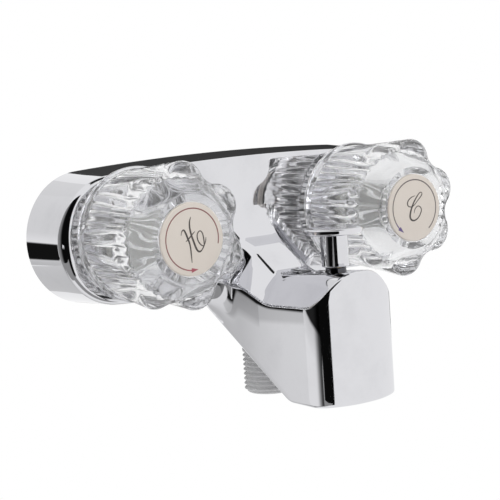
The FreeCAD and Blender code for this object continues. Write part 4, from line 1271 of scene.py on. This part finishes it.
def studio_card(name, place, facing, size, axis, glow, fade=None):
    """Card beside the set that only metal mirrors, with a run of greys and a slanting fade."""
    deselect()
    bpy.ops.mesh.primitive_plane_add(size=1.0)
    card = bpy.context.object
    card.name = name
    card.data.transform(aimed(place, facing) @ Matrix.Diagonal((*size, 1, 1)))
    paint = Paint(name + "_paper", Base_Color=(0, 0, 0), Roughness=1.0, Specular_IOR_Level=0.0,
                  Emission_Strength=1.0)

    def greys(distance, values):
        low, high = values[0][0], values[-1][0]
        stops = [((place - low) / (high - low), (grey, grey, grey)) for place, grey in values]
        share = (distance - low) * (1.0 / (high - low))
        return paint.node("ShaderNodeValToRGB", {"stops": stops}, share)

    grey = greys(paint.along(axis), glow)
    if fade:
        across, slope, values = fade
        grey = grey * greys(paint.along("Z") - paint.along(across) * slope, values)
    paint.set(Emission_Color=grey)
    card.data.materials.append(paint.material)
    card.visible_camera = False
    card.visible_diffuse = False
    card.visible_transmission = False
    card.visible_shadow = False


def studio_lamp(name, place, aim, size, power):
    """Large soft lamp."""
    data = bpy.data.lights.new(name, "AREA")
    data.shape = "RECTANGLE"
    data.size, data.size_y = size
    data.energy = power
    lamp = bpy.data.objects.new(name, data)
    bpy.context.scene.collection.objects.link(lamp)
    lamp.location = place
    lamp.rotation_euler = (Vector(place) - Vector(aim)).to_track_quat("Z", "Y").to_euler()
    lamp.visible_camera = False
    lamp.visible_glossy = False


def studio_world():
    """White surroundings for the camera, metal and glass, and a softer white for plain surfaces."""
    white, soft_strength = (1, 1, 1), 0.62
    world = bpy.data.worlds.new("studio")
    bpy.context.scene.world = world
    nodes = Nodes(world, "ShaderNodeOutputWorld")
    nodes.show(nodes.node("ShaderNodeBackground", {}, white, soft_strength),
               nodes.node("ShaderNodeBackground", {}, white, 1.0))


def studio_camera():
    """Camera at the photograph's place."""
    data = bpy.data.cameras.new("camera")
    data.lens = camera_lens
    data.sensor_width = camera_sensor
    data.clip_start = 0.01
    camera = bpy.data.objects.new("camera", data)
    bpy.context.scene.collection.objects.link(camera)
    back = camera_right.cross(camera_up)
    turn = Matrix((camera_right, camera_up, back)).transposed().to_4x4()
    camera.matrix_world = Matrix.Translation(Vector(camera_place) * MM) @ turn
    bpy.context.scene.camera = camera


# Cards, from the largest surroundings to those close by the spout: name, centre, facing, width
# and height, the axis that the greys run along, the grey at each place on it, and for some a
# fade: grey shares at heights measured above a line that rises along X or Y by the given slope
studio_cards = (
    ("card_left", (-0.6945, -0.125, 0.2), (0.924, 0.383, 0.0), (2.1, 1.4), "Y",
     ((-1.10, 0.004), (-0.10, 0.004), (0.16, 0.24), (0.60, 0.34), (0.85, 0.34))),
    ("card_low", (-0.5, -0.15, -0.34), TO_COLD, (0.9, 0.32), "Y", ((-0.6, 0.33), (0.3, 0.33))),
    ("card_under", (-0.085, -0.096, -0.078), UP, (0.11, 0.088), "X",
     ((-0.14, 0.34), (0.0, 0.30))),
    ("card_floor", (-0.6, 0.52, -0.44), UP, (1.2, 0.84), "Y",
     ((0.10, 0.50), (0.5, 0.62), (0.95, 0.74))),
    ("card_behind", (0.75, 1.15, 0.265), (-0.56, -0.81, 0.0), (1.6, 0.47), "Z",
     ((0.03, 0.012), (0.12, 0.04), (0.5, 0.065))),
    ("card_right", (0.75, 1.15, -0.21), (-0.56, -0.81, 0.0), (1.6, 0.2), "Z",
     ((-0.31, 0.02), (-0.11, 0.02))),
    ("card_high", (0.14, -0.02, 0.95), (0.0, 0.0, -1.0), (0.42, 0.9), "X",
     ((-0.1, 0.03), (0.4, 0.03))),
    ("card_end", (-0.60, 0.95, -0.1), (0.55, -0.83, 0.0), (0.72, 2.4), "Z",
     ((-1.3, 0.45), (-0.62, 0.52), (-0.40, 0.66), (-0.365, 0.74), (-0.345, 0.008),
      (-0.085, 0.008), (-0.065, 0.98), (0.0, 0.93), (0.1, 0.84), (0.4, 0.84), (1.1, 0.90))),
    ("card_top", (-0.43, 1.15, 0.7), (0.38, -0.92, 0.0), (1.4, 1.4), "Z",
     ((0.0, 0.85), (0.1, 0.77), (0.4, 0.80), (1.4, 0.9))),
    ("card_near", (-0.06435, -0.005, -0.09815), TO_ROOM, (0.0233, 0.1237), "X",
     ((-0.076, 0.88), (-0.0636, 0.85), (-0.0527, 0.76)),
     ("X", 0.21, ((-0.09, 0.96), (-0.0345, 1.0), (-0.0325, 0.77), (-0.0272, 0.74),
                  (-0.0252, 0.01), (0.0, 0.01)))),
    ("card_root", (-0.0414, -0.005, -0.090), TO_ROOM, (0.0226, 0.140), "X",
     ((-0.0527, 0.76), (-0.0437, 0.65), (-0.030, 0.60)),
     ("X", 0.7, ((-0.09, 1.0), (-0.011, 1.0), (-0.0071, 0.68), (-0.0016, 0.58), (-0.0005, 0.25),
                 (0.0008, 0.01), (0.004, 0.01), (0.0065, 0.22), (0.02, 0.22)))),
    ("card_pale", (-0.103, -0.005, -0.1002), TO_ROOM, (0.054, 0.1196), "X",
     ((-0.13, 0.92), (-0.076, 0.88))),
    ("card_side", (-0.032, -0.0833, -0.05), TO_COLD, (0.0376, 0.044), "Y",
     ((-0.1021, 0.03), (-0.0967, 0.10), (-0.0924, 0.42), (-0.0885, 0.85), (-0.0859, 0.95),
      (-0.0645, 0.95)),
     ("Y", 0.33, ((-0.05, 1.0), (-0.020, 1.0), (-0.0105, 0.82), (-0.0083, 0.76), (-0.0063, 0.02),
                  (0.01, 0.02)))),
)

studio_floor()
for card in studio_cards:
    studio_card(*card)
studio_lamp("lamp_key", (-0.9, -1.1, 1.3), (0, -0.03, 0), (1.0, 1.0), 9.0)
studio_lamp("lamp_fill", (1.3, -0.7, 0.6), (0, -0.03, 0), (0.9, 0.9), 4.0)
studio_world()
studio_camera()
bpy.context.scene.view_settings.view_transform = "Standard"
